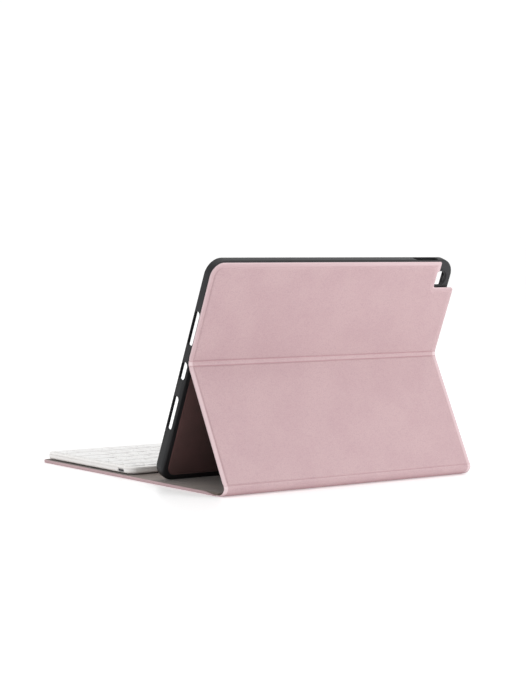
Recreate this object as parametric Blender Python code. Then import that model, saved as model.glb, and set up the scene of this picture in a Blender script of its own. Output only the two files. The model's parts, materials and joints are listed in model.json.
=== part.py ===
"""Tablet keyboard case: a folding cover that makes a stand, a moulded tablet tray and a slim keyboard.

Metres, +Z up. X runs along the case's width, -Y is the typist's side and +Y the back of the stand.
The origin is the centre of the base panel's underside. The cover is a chain of panels, each in the
frame of its own empty: local Y runs along the chain, from the base's front edge to the top of the
tray, and local Z points to the cover's inner side.
"""
import math

import bmesh
import bpy
from mathutils import Matrix, Vector

MM = 0.001

# Cover: outline and layers. Each layer is a (low, high) pair measured from the outer face.
COVER_WIDTH = 261.0 * MM
BASE_DEPTH = 217.0 * MM
BASE_CORNER = 6.0 * MM
SKIN = 0.5 * MM
LAYER_GAP = 0.15 * MM
BOARD = 1.2 * MM
LINING = 0.4 * MM
EDGE_WRAP = 0.8 * MM
BOARD_INSET = 4.5 * MM
LINING_INSET = 1.5 * MM
FOLD_GAP = 0.5 * MM
FOLD_RELIEF = 2.0 * MM

# Spine: an arc from the base's rear edge up to the bottom of the kickstand.
SPINE_RADIUS = 8.0 * MM
SPINE_ARC = math.radians(80)
SPINE_BOARD = 0.6 * MM
SPINE_STEPS = 8

# Stand: the kickstand panel leans forward, and the tray leans back from its top edge.
KICKSTAND_LENGTH = 98.0 * MM
TRAY_TILT = math.radians(18.5)
REST_GAP = 0.3 * MM

# Tray for a tablet of 250.6 x 174.1 x 6.1 mm.
TRAY_WIDTH = 255.0 * MM
TRAY_HEIGHT = 178.0 * MM
TRAY_DEPTH = 8.6 * MM
TRAY_DROP = 98.0 * MM
TRAY_CORNER = 13.0 * MM
TRAY_WALL = 1.7 * MM
TRAY_BACK = 1.4 * MM
TRAY_LIP = 1.0 * MM
LIP_OVERHANG = 1.5 * MM
TRAY_BACK_ROUNDING = 2.6 * MM
TRAY_FRONT_ROUNDING = 1.0 * MM
LINER_INSET = 5.0 * MM
LINER = 0.35 * MM

# Openings in the tray. Heights are measured along the tray from the crease.
TRAY_MIDDLE = TRAY_HEIGHT / 2 - TRAY_DROP
PORT_SLOT = (14.0 * MM, 6.2 * MM)
SPEAKER_SLOT = (27.0 * MM, 5.4 * MM)
SPEAKER_OFFSET = 34.0 * MM
VOLUME_SLOT = (26.0 * MM, 5.4 * MM)
VOLUME_X = -97.0 * MM
POWER_SLOT = (15.0 * MM, 5.4 * MM)
POWER_HEIGHT = 58.0 * MM
AUDIO_SLOT = (7.5 * MM, 6.2 * MM)
AUDIO_HEIGHT = -86.0 * MM
CAMERA_SIZE = (12.5 * MM, 11.5 * MM)
CAMERA_PLACE = (-114.2 * MM, 64.8 * MM)

# Upper panel, with a stepped notch round the camera corner.
UPPER_TOP = 79.8 * MM
UPPER_CORNER = 11.0 * MM
NOTCH_BOTTOM = 57.8 * MM
NOTCH_STEP = 71.2 * MM
NOTCH_INNER_X = -107.5 * MM
NOTCH_OUTER_X = -109.5 * MM
NOTCH_ROUNDING = 2.0 * MM

# Keyboard: heights above the floor of its layers, bottom to top.
KEYBOARD_SIZE = (255.0 * MM, 110.0 * MM)
KEYBOARD_REAR = -106.0 * MM
KEYBOARD_CORNER = 8.0 * MM
FOOT_LAYER = (2.6 * MM, 3.2 * MM)
CASE_FLOOR = (3.35 * MM, 4.05 * MM)
CASE_SPLIT = (6.85 * MM, 7.0 * MM)
CASE_TOP = (7.9 * MM, 8.6 * MM)
CASE_WALL = 1.2 * MM
CASE_FIT = 0.3 * MM
STEEL_LAYER = (4.2 * MM, 4.6 * MM)
CIRCUIT_LAYER = (4.2 * MM, 5.0 * MM)
BATTERY_LAYER = (4.2 * MM, 5.4 * MM)
MEMBRANE_LAYER = (5.55 * MM, 5.8 * MM)
PLATE_LAYER = (5.95 * MM, 6.35 * MM)
KEY_LAYER = (7.45 * MM, 9.2 * MM)
KEY_WEB_LAYER = (7.55 * MM, 7.75 * MM)

# Key rows, counted from the rear.
ROW_UNITS = 14
KEY_PITCH = 17.8 * MM
KEY_GAP = 2.4 * MM
ROW_PITCH = 18.0 * MM
ROW_GAP = 2.4 * MM
FUNCTION_ROW_DEPTH = 9.2 * MM
ROW_MARGIN = 5.4 * MM
KEY_TAPER = 0.4 * MM
KEY_CLEARANCE = 0.4 * MM
WEB_DEPTH = 3.0 * MM

# Small keyboard parts.
FOOT_RADIUS = 4.0 * MM
FOOT_PLACES = (117.0 * MM, 42.0 * MM)
MAGNET_RADIUS = 5.0 * MM
MAGNET_PLACES = (100.0 * MM, 30.0 * MM)
SOCKET_SIZE = (6.0 * MM, 7.4 * MM, 2.1 * MM)
SOCKET_BACK = 12.0 * MM
SOCKET_SHELL = 0.4 * MM
SWITCH_SIZE = (4.0 * MM, 2.2 * MM, 1.1 * MM)
SWITCH_HEIGHT = 4.85 * MM
SWITCH_X = 62.0 * MM
SWITCH_TRAVEL = 2.5 * MM
LIGHT_SIZE = (6.0 * MM, 1.0 * MM)
LIGHT_X = -96.0 * MM

# Flat parts inside the keyboard: the strip's width and length, then places about its centre as
# (x low, x high, y low, y high).
STEEL_STRIP = (12.0 * MM, 74.0 * MM)
CIRCUIT_PLACE = (30.0 * MM, 90.0 * MM, 12.0 * MM, 40.0 * MM)
BATTERY_PLACE = (-70.0 * MM, 10.0 * MM, -20.0 * MM, 25.0 * MM)
BATTERY_CORNER = 1.5 * MM

ARC_STEPS = 5
ROUND_STEPS = 16
BACK_STEPS = 3
FRONT_STEPS = 1
SMOOTH_ANGLE = math.radians(40)
RIM_ANGLE = math.radians(60)
WELD = 0.000001
FLAT_ANGLE = math.radians(0.05)

# Stands an outline in XY up in YZ, with its extrusion along X.
STAND_UP = Matrix(((0, 0, 1, 0), (1, 0, 0, 0), (0, 1, 0, 0), (0, 0, 0, 1)))

# Each row: the widths of its keys in key pitches, left to right as the typist sees them. A named
# key is a piece of its own; the unnamed keys of a row share a web.
KEY_ROWS = (
    ("function", [(1, "escape")] + [(1, None)] * 13),
    ("number", [(1, None)] * 13 + [(1, "delete")]),
    ("upper_letter", [(1, "tab")] + [(1, None)] * 13),
    ("middle_letter", [(1.5, "caps_lock")] + [(1, None)] * 11 + [(1.5, "return")]),
    ("lower_letter", [(2, "left_shift")] + [(1, None)] * 10 + [(2, "right_shift")]),
    ("bottom", [(1, "fn"), (1, "control"), (1, "left_option"), (1, "left_command"), (5, "space"),
                (1, "right_command"), (1, "right_option"), (1, "arrow_left"), (1, "arrow_up_down"),
                (1, "arrow_right")]),
)


def clear_scene():
    for item in list(bpy.data.objects):
        bpy.data.objects.remove(item, do_unlink=True)


def new_collection(name):
    collection = bpy.data.collections.new(name)
    bpy.context.scene.collection.children.link(collection)
    return collection


def new_material(name, colour, roughness, metallic=0.0):
    material = bpy.data.materials.new(name)
    material.use_nodes = True
    shader = material.node_tree.nodes["Principled BSDF"]
    shader.inputs["Base Color"].default_value = (*colour, 1.0)
    shader.inputs["Roughness"].default_value = roughness
    shader.inputs["Metallic"].default_value = metallic
    material.diffuse_color = (*colour, 1.0)
    return material


def body_frame(name, place, angle=0.0):
    """An empty on a joint's axis, turned about X, that holds one moving body."""
    frame = bpy.data.objects.new(name, None)
    frame.location = place
    frame.rotation_euler = (angle, 0.0, 0.0)
    frame.empty_display_size = 0.01
    PARTS.objects.link(frame)
    return frame


def fillet(corners, radii):
    """An outline through the corners, each one replaced by an arc where its radius isn't zero."""
    points = [Vector((*corner, 0.0)) for corner in corners]
    outline = []
    for index, corner in enumerate(points):
        radius = radii[index]
        if radius == 0:
            outline.append(corner)
            continue
        before = (points[index - 1] - corner).normalized()
        after = (points[(index + 1) % len(points)] - corner).normalized()
        half_angle = before.angle(after) / 2
        centre = corner + (before + after).normalized() * (radius / math.sin(half_angle))
        spoke = corner + before * (radius / math.tan(half_angle)) - centre
        turn = math.copysign(math.pi - 2 * half_angle, after.cross(before).z)
        for step in range(ARC_STEPS + 1):
            outline.append(centre + Matrix.Rotation(turn * step / ARC_STEPS, 3, "Z") @ spoke)
    return outline


def rectangle(x_low, x_high, y_low, y_high, radius=0.0, rear_radius=None):
    """A rectangle whose rear corners, at y_high, may have a radius of their own."""
    rear = radius if rear_radius is None else rear_radius
    corners = [(x_low, y_low), (x_high, y_low), (x_high, y_high), (x_low, y_high)]
    return fillet(corners, [radius, radius, rear, rear])


def outline_mesh(name, outline, low, high, turn=None):
    """A closed slab: the outline in XY, from low to high along Z, then turned."""
    curve = bpy.data.curves.new(name, "CURVE")
    curve.dimensions = "2D"
    curve.fill_mode = "BOTH"
    curve.extrude = (high - low) / 2
    spline = curve.splines.new("POLY")
    spline.points.add(len(outline) - 1)
    for point, place in zip(spline.points, outline):
        point.co = (place[0], place[1], 0.0, 1.0)
    spline.use_cyclic_u = True
    guide = bpy.data.objects.new(name + "_outline", curve)
    PARTS.objects.link(guide)
    evaluated = guide.evaluated_get(bpy.context.evaluated_depsgraph_get())
    mesh = bpy.data.meshes.new_from_object(evaluated)
    mesh.name = name
    bpy.data.objects.remove(guide)
    bpy.data.curves.remove(curve)
    shape = bmesh.new()
    shape.from_mesh(mesh)
    bmesh.ops.remove_doubles(shape, verts=shape.verts, dist=WELD)
    bmesh.ops.dissolve_limit(shape, angle_limit=FLAT_ANGLE, verts=shape.verts, edges=shape.edges)
    bmesh.ops.translate(shape, verts=shape.verts, vec=(0.0, 0.0, (low + high) / 2))
    if turn is not None:
        bmesh.ops.transform(shape, matrix=turn, verts=shape.verts)
    bmesh.ops.recalc_face_normals(shape, faces=shape.faces)
    shape.to_mesh(mesh)
    shape.free()
    return mesh


def box_mesh(name, size, centre, taper=0.0):
    """A box whose top may be drawn in by the taper on each side."""
    shape = bmesh.new()
    bmesh.ops.create_cube(shape, size=1.0)
    for corner in shape.verts:
        narrowing = 2 * taper if corner.co.z > 0 else 0.0
        corner.co.x *= size[0] - narrowing
        corner.co.y *= size[1] - narrowing
        corner.co.z *= size[2]
    bmesh.ops.translate(shape, verts=shape.verts, vec=centre)
    mesh = bpy.data.meshes.new(name)
    shape.to_mesh(mesh)
    shape.free()
    return mesh


def disc_mesh(name, radius, low, high, place):
    shape = bmesh.new()
    centre = Matrix.Translation((place[0], place[1], (low + high) / 2))
    bmesh.ops.create_cone(shape, cap_ends=True, segments=ROUND_STEPS, radius1=radius,
                          radius2=radius, depth=high - low, matrix=centre)
    mesh = bpy.data.meshes.new(name)
    shape.to_mesh(mesh)
    shape.free()
    mesh.shade_smooth()
    mesh.set_sharp_from_angle(angle=SMOOTH_ANGLE)
    return mesh


def joined_mesh(name, meshes):
    shape = bmesh.new()
    for mesh in meshes:
        shape.from_mesh(mesh)
    joined = bpy.data.meshes.new(name)
    shape.to_mesh(joined)
    shape.free()
    return joined


def add_part(name, mesh, frame, material):
    part = bpy.data.objects.new(name, mesh)
    part.parent = frame
    part.data.materials.clear()
    part.data.materials.append(material)
    PARTS.objects.link(part)
    return part


def add_boolean(part, mesh, operation="DIFFERENCE"):
    """Cut the mesh from a part, or join it to the part; the mesh is in the part's own frame."""
    tool = bpy.data.objects.new(mesh.name, mesh)
    tool.parent = part.parent
    tool.location = part.location
    tool.hide_render = True
    tool.display_type = "WIRE"
    CUTTERS.objects.link(tool)
    modifier = part.modifiers.new(operation.lower(), "BOOLEAN")
    modifier.operation = operation
    modifier.object = tool
    modifier.solver = "EXACT"


def corner_places(half_x, half_y, centre_y=0.0):
    """Four named places, one near each corner of the keyboard."""
    for front_name, y_sign in (("front", -1), ("rear", 1)):
        for side_name, x_sign in (("left", -1), ("right", 1)):
            yield f"{front_name}_{side_name}", (x_sign * half_x, centre_y + y_sign * half_y)


def layers(board=BOARD):
    """The skin, board and lining of a panel, as heights above the outer face."""
    board_low = SKIN + LAYER_GAP
    lining_low = board_low + board + LAYER_GAP
    return (0.0, SKIN), (board_low, board_low + board), (lining_low, lining_low + LINING)


# --- Base ------------------------------------------------------------------------------------

def build_base(frame):
    skin, board, lining = layers()
    rear = BASE_DEPTH / 2
    half = COVER_WIDTH / 2
    outer = rectangle(-half, half, -rear, rear - FOLD_GAP, BASE_CORNER, 0.0)
    inner_half = half - EDGE_WRAP
    pocket = rectangle(-inner_half, inner_half, EDGE_WRAP - rear, rear, BASE_CORNER - EDGE_WRAP, 0.0)
    base_skin = add_part("base_skin", outline_mesh("base_skin", outer, 0.0, lining[1]), frame, ROSE)
    add_boolean(base_skin, outline_mesh("base_pocket", pocket, skin[1], lining[1] + SKIN))

    board_half = half - BOARD_INSET
    corner = BASE_CORNER - BOARD_INSET
    outline = rectangle(-board_half, board_half, BOARD_INSET - rear, rear - FOLD_RELIEF, corner, 0.0)
    base_board = add_part("base_board", outline_mesh("base_board", outline, *board), frame, GREYBOARD)
    magnets_y = rear + KEYBOARD_REAR - KEYBOARD_SIZE[1] / 2
    for name, place in corner_places(*MAGNET_PLACES, magnets_y):
        hole = disc_mesh("magnet_hole_" + name, MAGNET_RADIUS + REST_GAP, 0.0, lining[1], place)
        add_boolean(base_board, hole)
        magnet = disc_mesh("magnet_" + name, MAGNET_RADIUS, *board, place)
        add_part("keyboard_magnet_" + name, magnet, frame, MAGNET_METAL)
    edge = EDGE_WRAP + LAYER_GAP
    outline = rectangle(edge - half, half - edge, edge - rear, rear - LINING_INSET, BASE_CORNER - edge, 0.0)
    add_part("base_lining", outline_mesh("base_lining", outline, *lining), frame, MICROFIBRE)


# --- Spine -----------------------------------------------------------------------------------

def spine_layer(name, layer, relief_end, side_inset, frame, material):
    """An arc of the spine, extruded across the case, between two heights above its outer face."""
    neutral = SPINE_RADIUS
    start = FOLD_GAP / neutral
    end = SPINE_ARC - relief_end / neutral
    outline = []
    for height, angles in ((layer[0], (start, end)), (layer[1], (end, start))):
        radius = neutral + SKIN / 2 - height
        for step in range(SPINE_STEPS + 1):
            angle = angles[0] + (angles[1] - angles[0]) * step / SPINE_STEPS
            outline.append((radius * math.sin(angle), neutral - radius * math.cos(angle)))
    half = COVER_WIDTH / 2 - side_inset
    mesh = outline_mesh(name, outline, -half, half, STAND_UP)
    add_part(name, mesh, frame, material)


def build_spine(frame):
    skin, board, lining = layers(SPINE_BOARD)
    spine_layer("spine_skin", skin, FOLD_GAP, 0.0, frame, ROSE)
    spine_layer("spine_stiffener", board, FOLD_RELIEF, BOARD_INSET, frame, GREYBOARD)
    spine_layer("spine_lining", lining, FOLD_RELIEF, LINING_INSET, frame, MICROFIBRE)


# --- Kickstand -------------------------------------------------------------------------------

def panel_layers():
    """The layers of a panel about its fold plane, which is the middle of the skin."""
    return [(low - SKIN / 2, high - SKIN / 2) for low, high in layers()]


def build_kickstand(frame):
    skin, board, lining = panel_layers()
    half = COVER_WIDTH / 2
    end = KICKSTAND_LENGTH
    outline = rectangle(-half, half, FOLD_GAP, end - FOLD_GAP)
    add_part("kickstand_skin", outline_mesh("kickstand_skin", outline, *skin), frame, ROSE)
    board_half = half - BOARD_INSET
    outline = rectangle(-board_half, board_half, FOLD_RELIEF, end - FOLD_RELIEF)
    add_part("kickstand_board", outline_mesh("kickstand_board", outline, *board), frame, GREYBOARD)
    lining_half = half - LINING_INSET
    outline = rectangle(-lining_half, lining_half, FOLD_RELIEF, end - FOLD_RELIEF)
    add_part("kickstand_lining", outline_mesh("kickstand_lining", outline, *lining), frame,
             MICROFIBRE)


# --- Upper panel and tray --------------------------------------------------------------------

def upper_outline(inset, bottom):
    """The upper panel's outline, drawn in by an inset, with the stepped camera notch."""
    half = COVER_WIDTH / 2 - inset
    top = UPPER_TOP - inset
    inner = NOTCH_INNER_X + inset
    outer = NOTCH_OUTER_X + inset
    step = NOTCH_STEP
    if inset > 0:
        outer = inner
    corners = [(-half, bottom), (half, bottom), (half, top), (outer, top), (outer, step),
               (inner, step), (inner, NOTCH_BOTTOM - inset), (-half, NOTCH_BOTTOM - inset)]
    radii = [0.0, 0.0, UPPER_CORNER - inset, NOTCH_ROUNDING, 0.0, 0.0, 0.0, NOTCH_ROUNDING]
    if inset > 0:
        del corners[4:6]
        del radii[4:6]
    return fillet(corners, radii)


def side_slot(name, size, height, x_side, middle):
    """A cutter for a slot through the tray's side wall, with rounded ends along the tray."""
    length, width = size
    outline = rectangle(height - length / 2, height + length / 2, middle - width / 2,
                        middle + width / 2, width / 2 - 2 * WELD)
    reach = sorted((x_side * (TRAY_WIDTH / 2 - 2 * TRAY_WALL), x_side * (TRAY_WIDTH / 2 + TRAY_WALL)))
    return outline_mesh(name, outline, reach[0], reach[1], STAND_UP)


def top_slot(name, size, x_centre, middle):
    """A cutter for a slot through the tray's top wall, with rounded ends along X."""
    length, width = size
    outline = rectangle(x_centre - length / 2, x_centre + length / 2, -middle - width / 2,
                        -middle + width / 2, width / 2 - 2 * WELD)
    top = TRAY_HEIGHT - TRAY_DROP
    lay_back = Matrix.Rotation(math.radians(-90), 4, "X")
    return outline_mesh(name, outline, top - 2 * TRAY_WALL, top + TRAY_WALL, lay_back)


def tray_outline(inset):
    half = TRAY_WIDTH / 2 - inset
    bottom = inset - TRAY_DROP
    top = TRAY_HEIGHT - TRAY_DROP - inset
    return rectangle(-half, half, bottom, top, TRAY_CORNER - inset)


def round_rim(mesh, height, width, segments):
    """Round the outer edges of a slab that lie at one height."""
    shape = bmesh.new()
    shape.from_mesh(mesh)
    rim = [edge for edge in shape.edges
           if len(edge.link_faces) == 2 and edge.calc_face_angle() > RIM_ANGLE
           and all(abs(corner.co.z - height) < WELD for corner in edge.verts)]
    bmesh.ops.bevel(shape, geom=rim, offset=width, segments=segments, profile=0.5,
                    affect="EDGES", clamp_overlap=True)
    shape.to_mesh(mesh)
    shape.free()


def build_tray(frame, tray_low):
    tray_high = tray_low + TRAY_DEPTH
    shell_mesh = outline_mesh("tray_shell", tray_outline(0.0), tray_low, tray_high)
    round_rim(shell_mesh, tray_low, TRAY_BACK_ROUNDING, BACK_STEPS)
    round_rim(shell_mesh, tray_high, TRAY_FRONT_ROUNDING, FRONT_STEPS)
    shell_mesh.shade_smooth()
    shell_mesh.set_sharp_from_angle(angle=SMOOTH_ANGLE)
    shell = add_part("tray_shell", shell_mesh, frame, BLACK_TPU)
    floor = tray_low + TRAY_BACK
    lip = tray_high - TRAY_LIP
    add_boolean(shell, outline_mesh("tray_cavity", tray_outline(TRAY_WALL), floor, lip))
    window = tray_outline(TRAY_WALL + LIP_OVERHANG)
    add_boolean(shell, outline_mesh("tray_window", window, lip - LAYER_GAP, tray_high + TRAY_LIP))

    middle = (floor + lip) / 2
    for side_name, x_side in (("right", 1), ("left", -1)):
        for end_name, offset in (("upper", SPEAKER_OFFSET), ("lower", -SPEAKER_OFFSET)):
            name = f"speaker_slot_{side_name}_{end_name}"
            add_boolean(shell, side_slot(name, SPEAKER_SLOT, TRAY_MIDDLE + offset, x_side, middle))
    add_boolean(shell, side_slot("port_slot", PORT_SLOT, TRAY_MIDDLE, 1, middle))
    add_boolean(shell, side_slot("power_slot", POWER_SLOT, POWER_HEIGHT, -1, middle))
    add_boolean(shell, side_slot("audio_slot", AUDIO_SLOT, AUDIO_HEIGHT, -1, middle))
    add_boolean(shell, top_slot("volume_slot", VOLUME_SLOT, VOLUME_X, middle))
    x_centre, y_centre = CAMERA_PLACE
    half_x, half_y = CAMERA_SIZE[0] / 2, CAMERA_SIZE[1] / 2
    hole = rectangle(x_centre - half_x, x_centre + half_x, y_centre - half_y, y_centre + half_y,
                     half_y - 2 * WELD)
    add_boolean(shell, outline_mesh("camera_hole", hole, tray_low - TRAY_BACK, floor + TRAY_BACK))

    half = TRAY_WIDTH / 2 - LINER_INSET
    outline = rectangle(-half, half, LINER_INSET - TRAY_DROP, -FOLD_RELIEF, TRAY_CORNER - LINER_INSET,
                        0.0)
    liner_high = tray_low - LAYER_GAP
    add_part("tray_back_liner", outline_mesh("tray_back_liner", outline, liner_high - LINER,
                                             liner_high), frame, BROWN_LINER)


def build_upper_panel(frame, tray_low):
    skin, board, _ = panel_layers()
    outline = upper_outline(0.0, FOLD_GAP)
    add_part("upper_panel_skin", outline_mesh("upper_panel_skin", outline, *skin), frame, ROSE)
    outline = upper_outline(BOARD_INSET, FOLD_RELIEF)
    add_part("upper_panel_board", outline_mesh("upper_panel_board", outline, *board), frame,
             GREYBOARD)
    pad = outline_mesh("adhesive_pad", outline, board[1] + LAYER_GAP, tray_low - LAYER_GAP)
    add_part("adhesive_pad", pad, frame, ADHESIVE)


# --- Keyboard --------------------------------------------------------------------------------

def keyboard_outline(inset, bite=None):
    """The keyboard's outline about its centre; a bite takes the rear right corner off."""
    half_x = KEYBOARD_SIZE[0] / 2 - inset
    half_y = KEYBOARD_SIZE[1] / 2 - inset
    if bite is None:
        return rectangle(-half_x, half_x, -half_y, half_y, KEYBOARD_CORNER - inset)
    corner = KEYBOARD_CORNER - inset
    points = [(-half_x, -half_y), (half_x, -half_y), (half_x, half_y - bite[1]),
              (half_x - bite[0], half_y - bite[1]), (half_x - bite[0], half_y), (-half_x, half_y)]
    return fillet(points, [corner, corner, 0.0, 0.0, 0.0, corner])


def key_places():
    """Each key as (row, name, centre, size), from the row table."""
    width = KEY_PITCH * ROW_UNITS - KEY_GAP
    rear = KEYBOARD_SIZE[1] / 2 - ROW_MARGIN
    for number, (row, keys) in enumerate(KEY_ROWS):
        depth = FUNCTION_ROW_DEPTH if number == 0 else ROW_PITCH - ROW_GAP
        x = -width / 2
        for units, name in keys:
            key_width = units * KEY_PITCH - KEY_GAP
            yield row, name, (x + key_width / 2, rear - depth / 2), (key_width, depth)
            x += units * KEY_PITCH
        rear -= depth + ROW_GAP


def key_mesh(name, centre, size):
    low, high = KEY_LAYER
    return box_mesh(name, (*size, high - low), (*centre, (low + high) / 2), KEY_TAPER)


def build_keys(frame):
    """Named keys on their own, and the other keys of each row on a shared web."""
    shared = {}
    for row, name, centre, size in key_places():
        if name is None:
            shared.setdefault(row, []).append((centre, size))
        else:
            body = body_frame("key_" + name + "_frame", (0, 0, 0))
            body.parent = frame
            add_part("key_" + name, key_mesh("key_" + name, centre, size), body, KEY_PLASTIC)
    for row, keys in shared.items():
        body = body_frame(row + "_keys_frame", (0, 0, 0))
        body.parent = frame
        name = row + "_keys"
        caps = [key_mesh(name, centre, size) for centre, size in keys]
        part = add_part(name, joined_mesh(name, caps), body, KEY_PLASTIC)
        first, last = keys[0][0], keys[-1][0]
        web_size = (last[0] - first[0], WEB_DEPTH, KEY_WEB_LAYER[1] - KEY_WEB_LAYER[0])
        web_centre = ((first[0] + last[0]) / 2, first[1], sum(KEY_WEB_LAYER) / 2)
        add_boolean(part, box_mesh(row + "_web", web_size, web_centre), "UNION")


def build_keyboard_cases(frame):
    bottom = outline_mesh("keyboard_bottom_case", keyboard_outline(0.0), CASE_FLOOR[0], CASE_SPLIT[0])
    bottom_case = add_part("keyboard_bottom_case", bottom, frame, WHITE_PLASTIC)
    hollow = outline_mesh("bottom_hollow", keyboard_outline(CASE_WALL), CASE_FLOOR[1], CASE_TOP[1])
    add_boolean(bottom_case, hollow)
    top = outline_mesh("keyboard_top_case", keyboard_outline(0.0), CASE_SPLIT[1], CASE_TOP[1])
    top_case = add_part("keyboard_top_case", top, frame, WHITE_PLASTIC)
    hollow = outline_mesh("top_hollow", keyboard_outline(CASE_WALL), CASE_FLOOR[1], CASE_TOP[0])
    add_boolean(top_case, hollow)
    wells = []
    for _, _, centre, size in key_places():
        low, high = CASE_SPLIT[1], KEY_LAYER[1]
        well_size = (size[0] + 2 * KEY_CLEARANCE, size[1] + 2 * KEY_CLEARANCE, high - low)
        wells.append(box_mesh("well", well_size, (*centre, (low + high) / 2)))
    add_boolean(top_case, joined_mesh("key_wells", wells))
    return bottom_case, top_case


def build_keyboard(frame):
    bottom_case, top_case = build_keyboard_cases(frame)
    half_x, half_y = KEYBOARD_SIZE[0] / 2, KEYBOARD_SIZE[1] / 2

    # Charging socket in the right wall, near the rear corner.
    socket_x = half_x - SOCKET_SIZE[0] / 2 - CASE_FIT
    socket_y = half_y - SOCKET_BACK
    socket_z = CASE_FLOOR[1] + LAYER_GAP + SOCKET_SIZE[2] / 2
    place = (socket_x, socket_y, socket_z)
    socket = add_part("charging_socket", box_mesh("charging_socket", SOCKET_SIZE, place), frame, STEEL)
    mouth_size = (SOCKET_SIZE[0], SOCKET_SIZE[1] - 2 * SOCKET_SHELL, SOCKET_SIZE[2] - 2 * SOCKET_SHELL)
    mouth_place = (socket_x + CASE_WALL, socket_y, socket_z)
    add_boolean(socket, box_mesh("socket_mouth", mouth_size, mouth_place))
    port_size = (3 * CASE_WALL, SOCKET_SIZE[1] + 2 * CASE_FIT, SOCKET_SIZE[2] + 2 * LAYER_GAP)
    port = box_mesh("charging_port", port_size, (half_x, socket_y, socket_z + LAYER_GAP / 2))
    add_boolean(bottom_case, port)

    # Power switch in the rear wall, and the slot that it slides in.
    switch_y = half_y - SWITCH_SIZE[1] / 2 + CASE_FIT
    switch_frame = body_frame("power_switch_frame", (0, 0, 0))
    switch_frame.parent = frame
    switch = box_mesh("power_switch", SWITCH_SIZE, (SWITCH_X, switch_y, SWITCH_HEIGHT))
    add_part("power_switch", switch, switch_frame, GREY_PLASTIC)
    slot_size = (SWITCH_SIZE[0] + SWITCH_TRAVEL + 2 * CASE_FIT, 3 * CASE_WALL,
                 SWITCH_SIZE[2] + 2 * CASE_FIT)
    slot_x = SWITCH_X + SWITCH_TRAVEL / 2
    add_boolean(bottom_case, box_mesh("switch_slot", slot_size, (slot_x, half_y, SWITCH_HEIGHT)))

    # Light bar in the rear margin.
    light_y = half_y - ROW_MARGIN / 2
    light = box_mesh("status_light", (*LIGHT_SIZE, CASE_TOP[1] - CASE_TOP[0]),
                     (LIGHT_X, light_y, sum(CASE_TOP) / 2))
    add_part("status_light", light, frame, CLEAR_PLASTIC)
    window = box_mesh("light_window", (LIGHT_SIZE[0] + 2 * LAYER_GAP, LIGHT_SIZE[1] + 2 * LAYER_GAP,
                                       2 * (CASE_TOP[1] - CASE_TOP[0])),
                      (LIGHT_X, light_y, sum(CASE_TOP) / 2))
    add_boolean(top_case, window)

    # Flat layers under the keys, clear of the charging socket.
    bite = (SOCKET_SIZE[0] + 2 * CASE_FIT, SOCKET_BACK + SOCKET_SIZE[1] / 2 + CASE_FIT)
    inner = keyboard_outline(CASE_WALL + CASE_FIT, bite)
    for name, layer, material in (("key_support_plate", PLATE_LAYER, STEEL),
                                  ("dome_membrane", MEMBRANE_LAYER, CLEAR_PLASTIC)):
        add_part(name, outline_mesh(name, inner, *layer), frame, material)
    for side_name, x_side in (("left", -1), ("right", 1)):
        centre_x = x_side * MAGNET_PLACES[0]
        half_width, half_length = STEEL_STRIP[0] / 2, STEEL_STRIP[1] / 2
        strip = rectangle(centre_x - half_width, centre_x + half_width, -half_length, half_length)
        name = "steel_strip_" + side_name
        add_part(name, outline_mesh(name, strip, *STEEL_LAYER), frame, STEEL)
    board = rectangle(*CIRCUIT_PLACE)
    add_part("circuit_board", outline_mesh("circuit_board", board, *CIRCUIT_LAYER), frame, GREEN_BOARD)
    cell = rectangle(*BATTERY_PLACE, BATTERY_CORNER)
    add_part("battery", outline_mesh("battery", cell, *BATTERY_LAYER), frame, FOIL)
    for name, place in corner_places(*FOOT_PLACES):
        foot = disc_mesh("keyboard_foot_" + name, FOOT_RADIUS, *FOOT_LAYER, place)
        add_part("keyboard_foot_" + name, foot, frame, RUBBER)
    build_keys(frame)


def kickstand_lean(tray_low):
    """The kickstand's angle above +Y that sets the tray's rounded foot just above the lining."""
    rounding = TRAY_BACK_ROUNDING
    crease_height = (layers()[2][1] + REST_GAP + rounding
                     + (TRAY_DROP - rounding) * math.cos(TRAY_TILT)
                     - (tray_low + rounding) * math.sin(TRAY_TILT))
    hinge_height = SKIN / 2 + SPINE_RADIUS * (1 - math.cos(SPINE_ARC))
    return math.pi - math.asin((crease_height - hinge_height) / KICKSTAND_LENGTH)


def build_case():
    tray_low = panel_layers()[2][1] + REST_GAP + LINER + LAYER_GAP
    lean = kickstand_lean(tray_low)
    spine_axis = Vector((0, BASE_DEPTH / 2, SKIN / 2))
    stand_axis = spine_axis + SPINE_RADIUS * Vector((0, math.sin(SPINE_ARC), 1 - math.cos(SPINE_ARC)))
    crease_axis = stand_axis + KICKSTAND_LENGTH * Vector((0, math.cos(lean), math.sin(lean)))

    base = body_frame("base_frame", (0, 0, 0))
    spine = body_frame("spine_frame", spine_axis)
    kickstand = body_frame("kickstand_frame", stand_axis, lean)
    tray = body_frame("tray_frame", crease_axis, math.pi / 2 - TRAY_TILT)
    keyboard_y = BASE_DEPTH / 2 + KEYBOARD_REAR - KEYBOARD_SIZE[1] / 2
    keyboard = body_frame("keyboard_frame", (0, keyboard_y, 0))
    build_base(base)
    build_spine(spine)
    build_kickstand(kickstand)
    build_upper_panel(tray, tray_low)
    build_tray(tray, tray_low)
    build_keyboard(keyboard)


clear_scene()
PARTS = new_collection("tablet_keyboard_case")
CUTTERS = new_collection("cutters")

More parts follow.
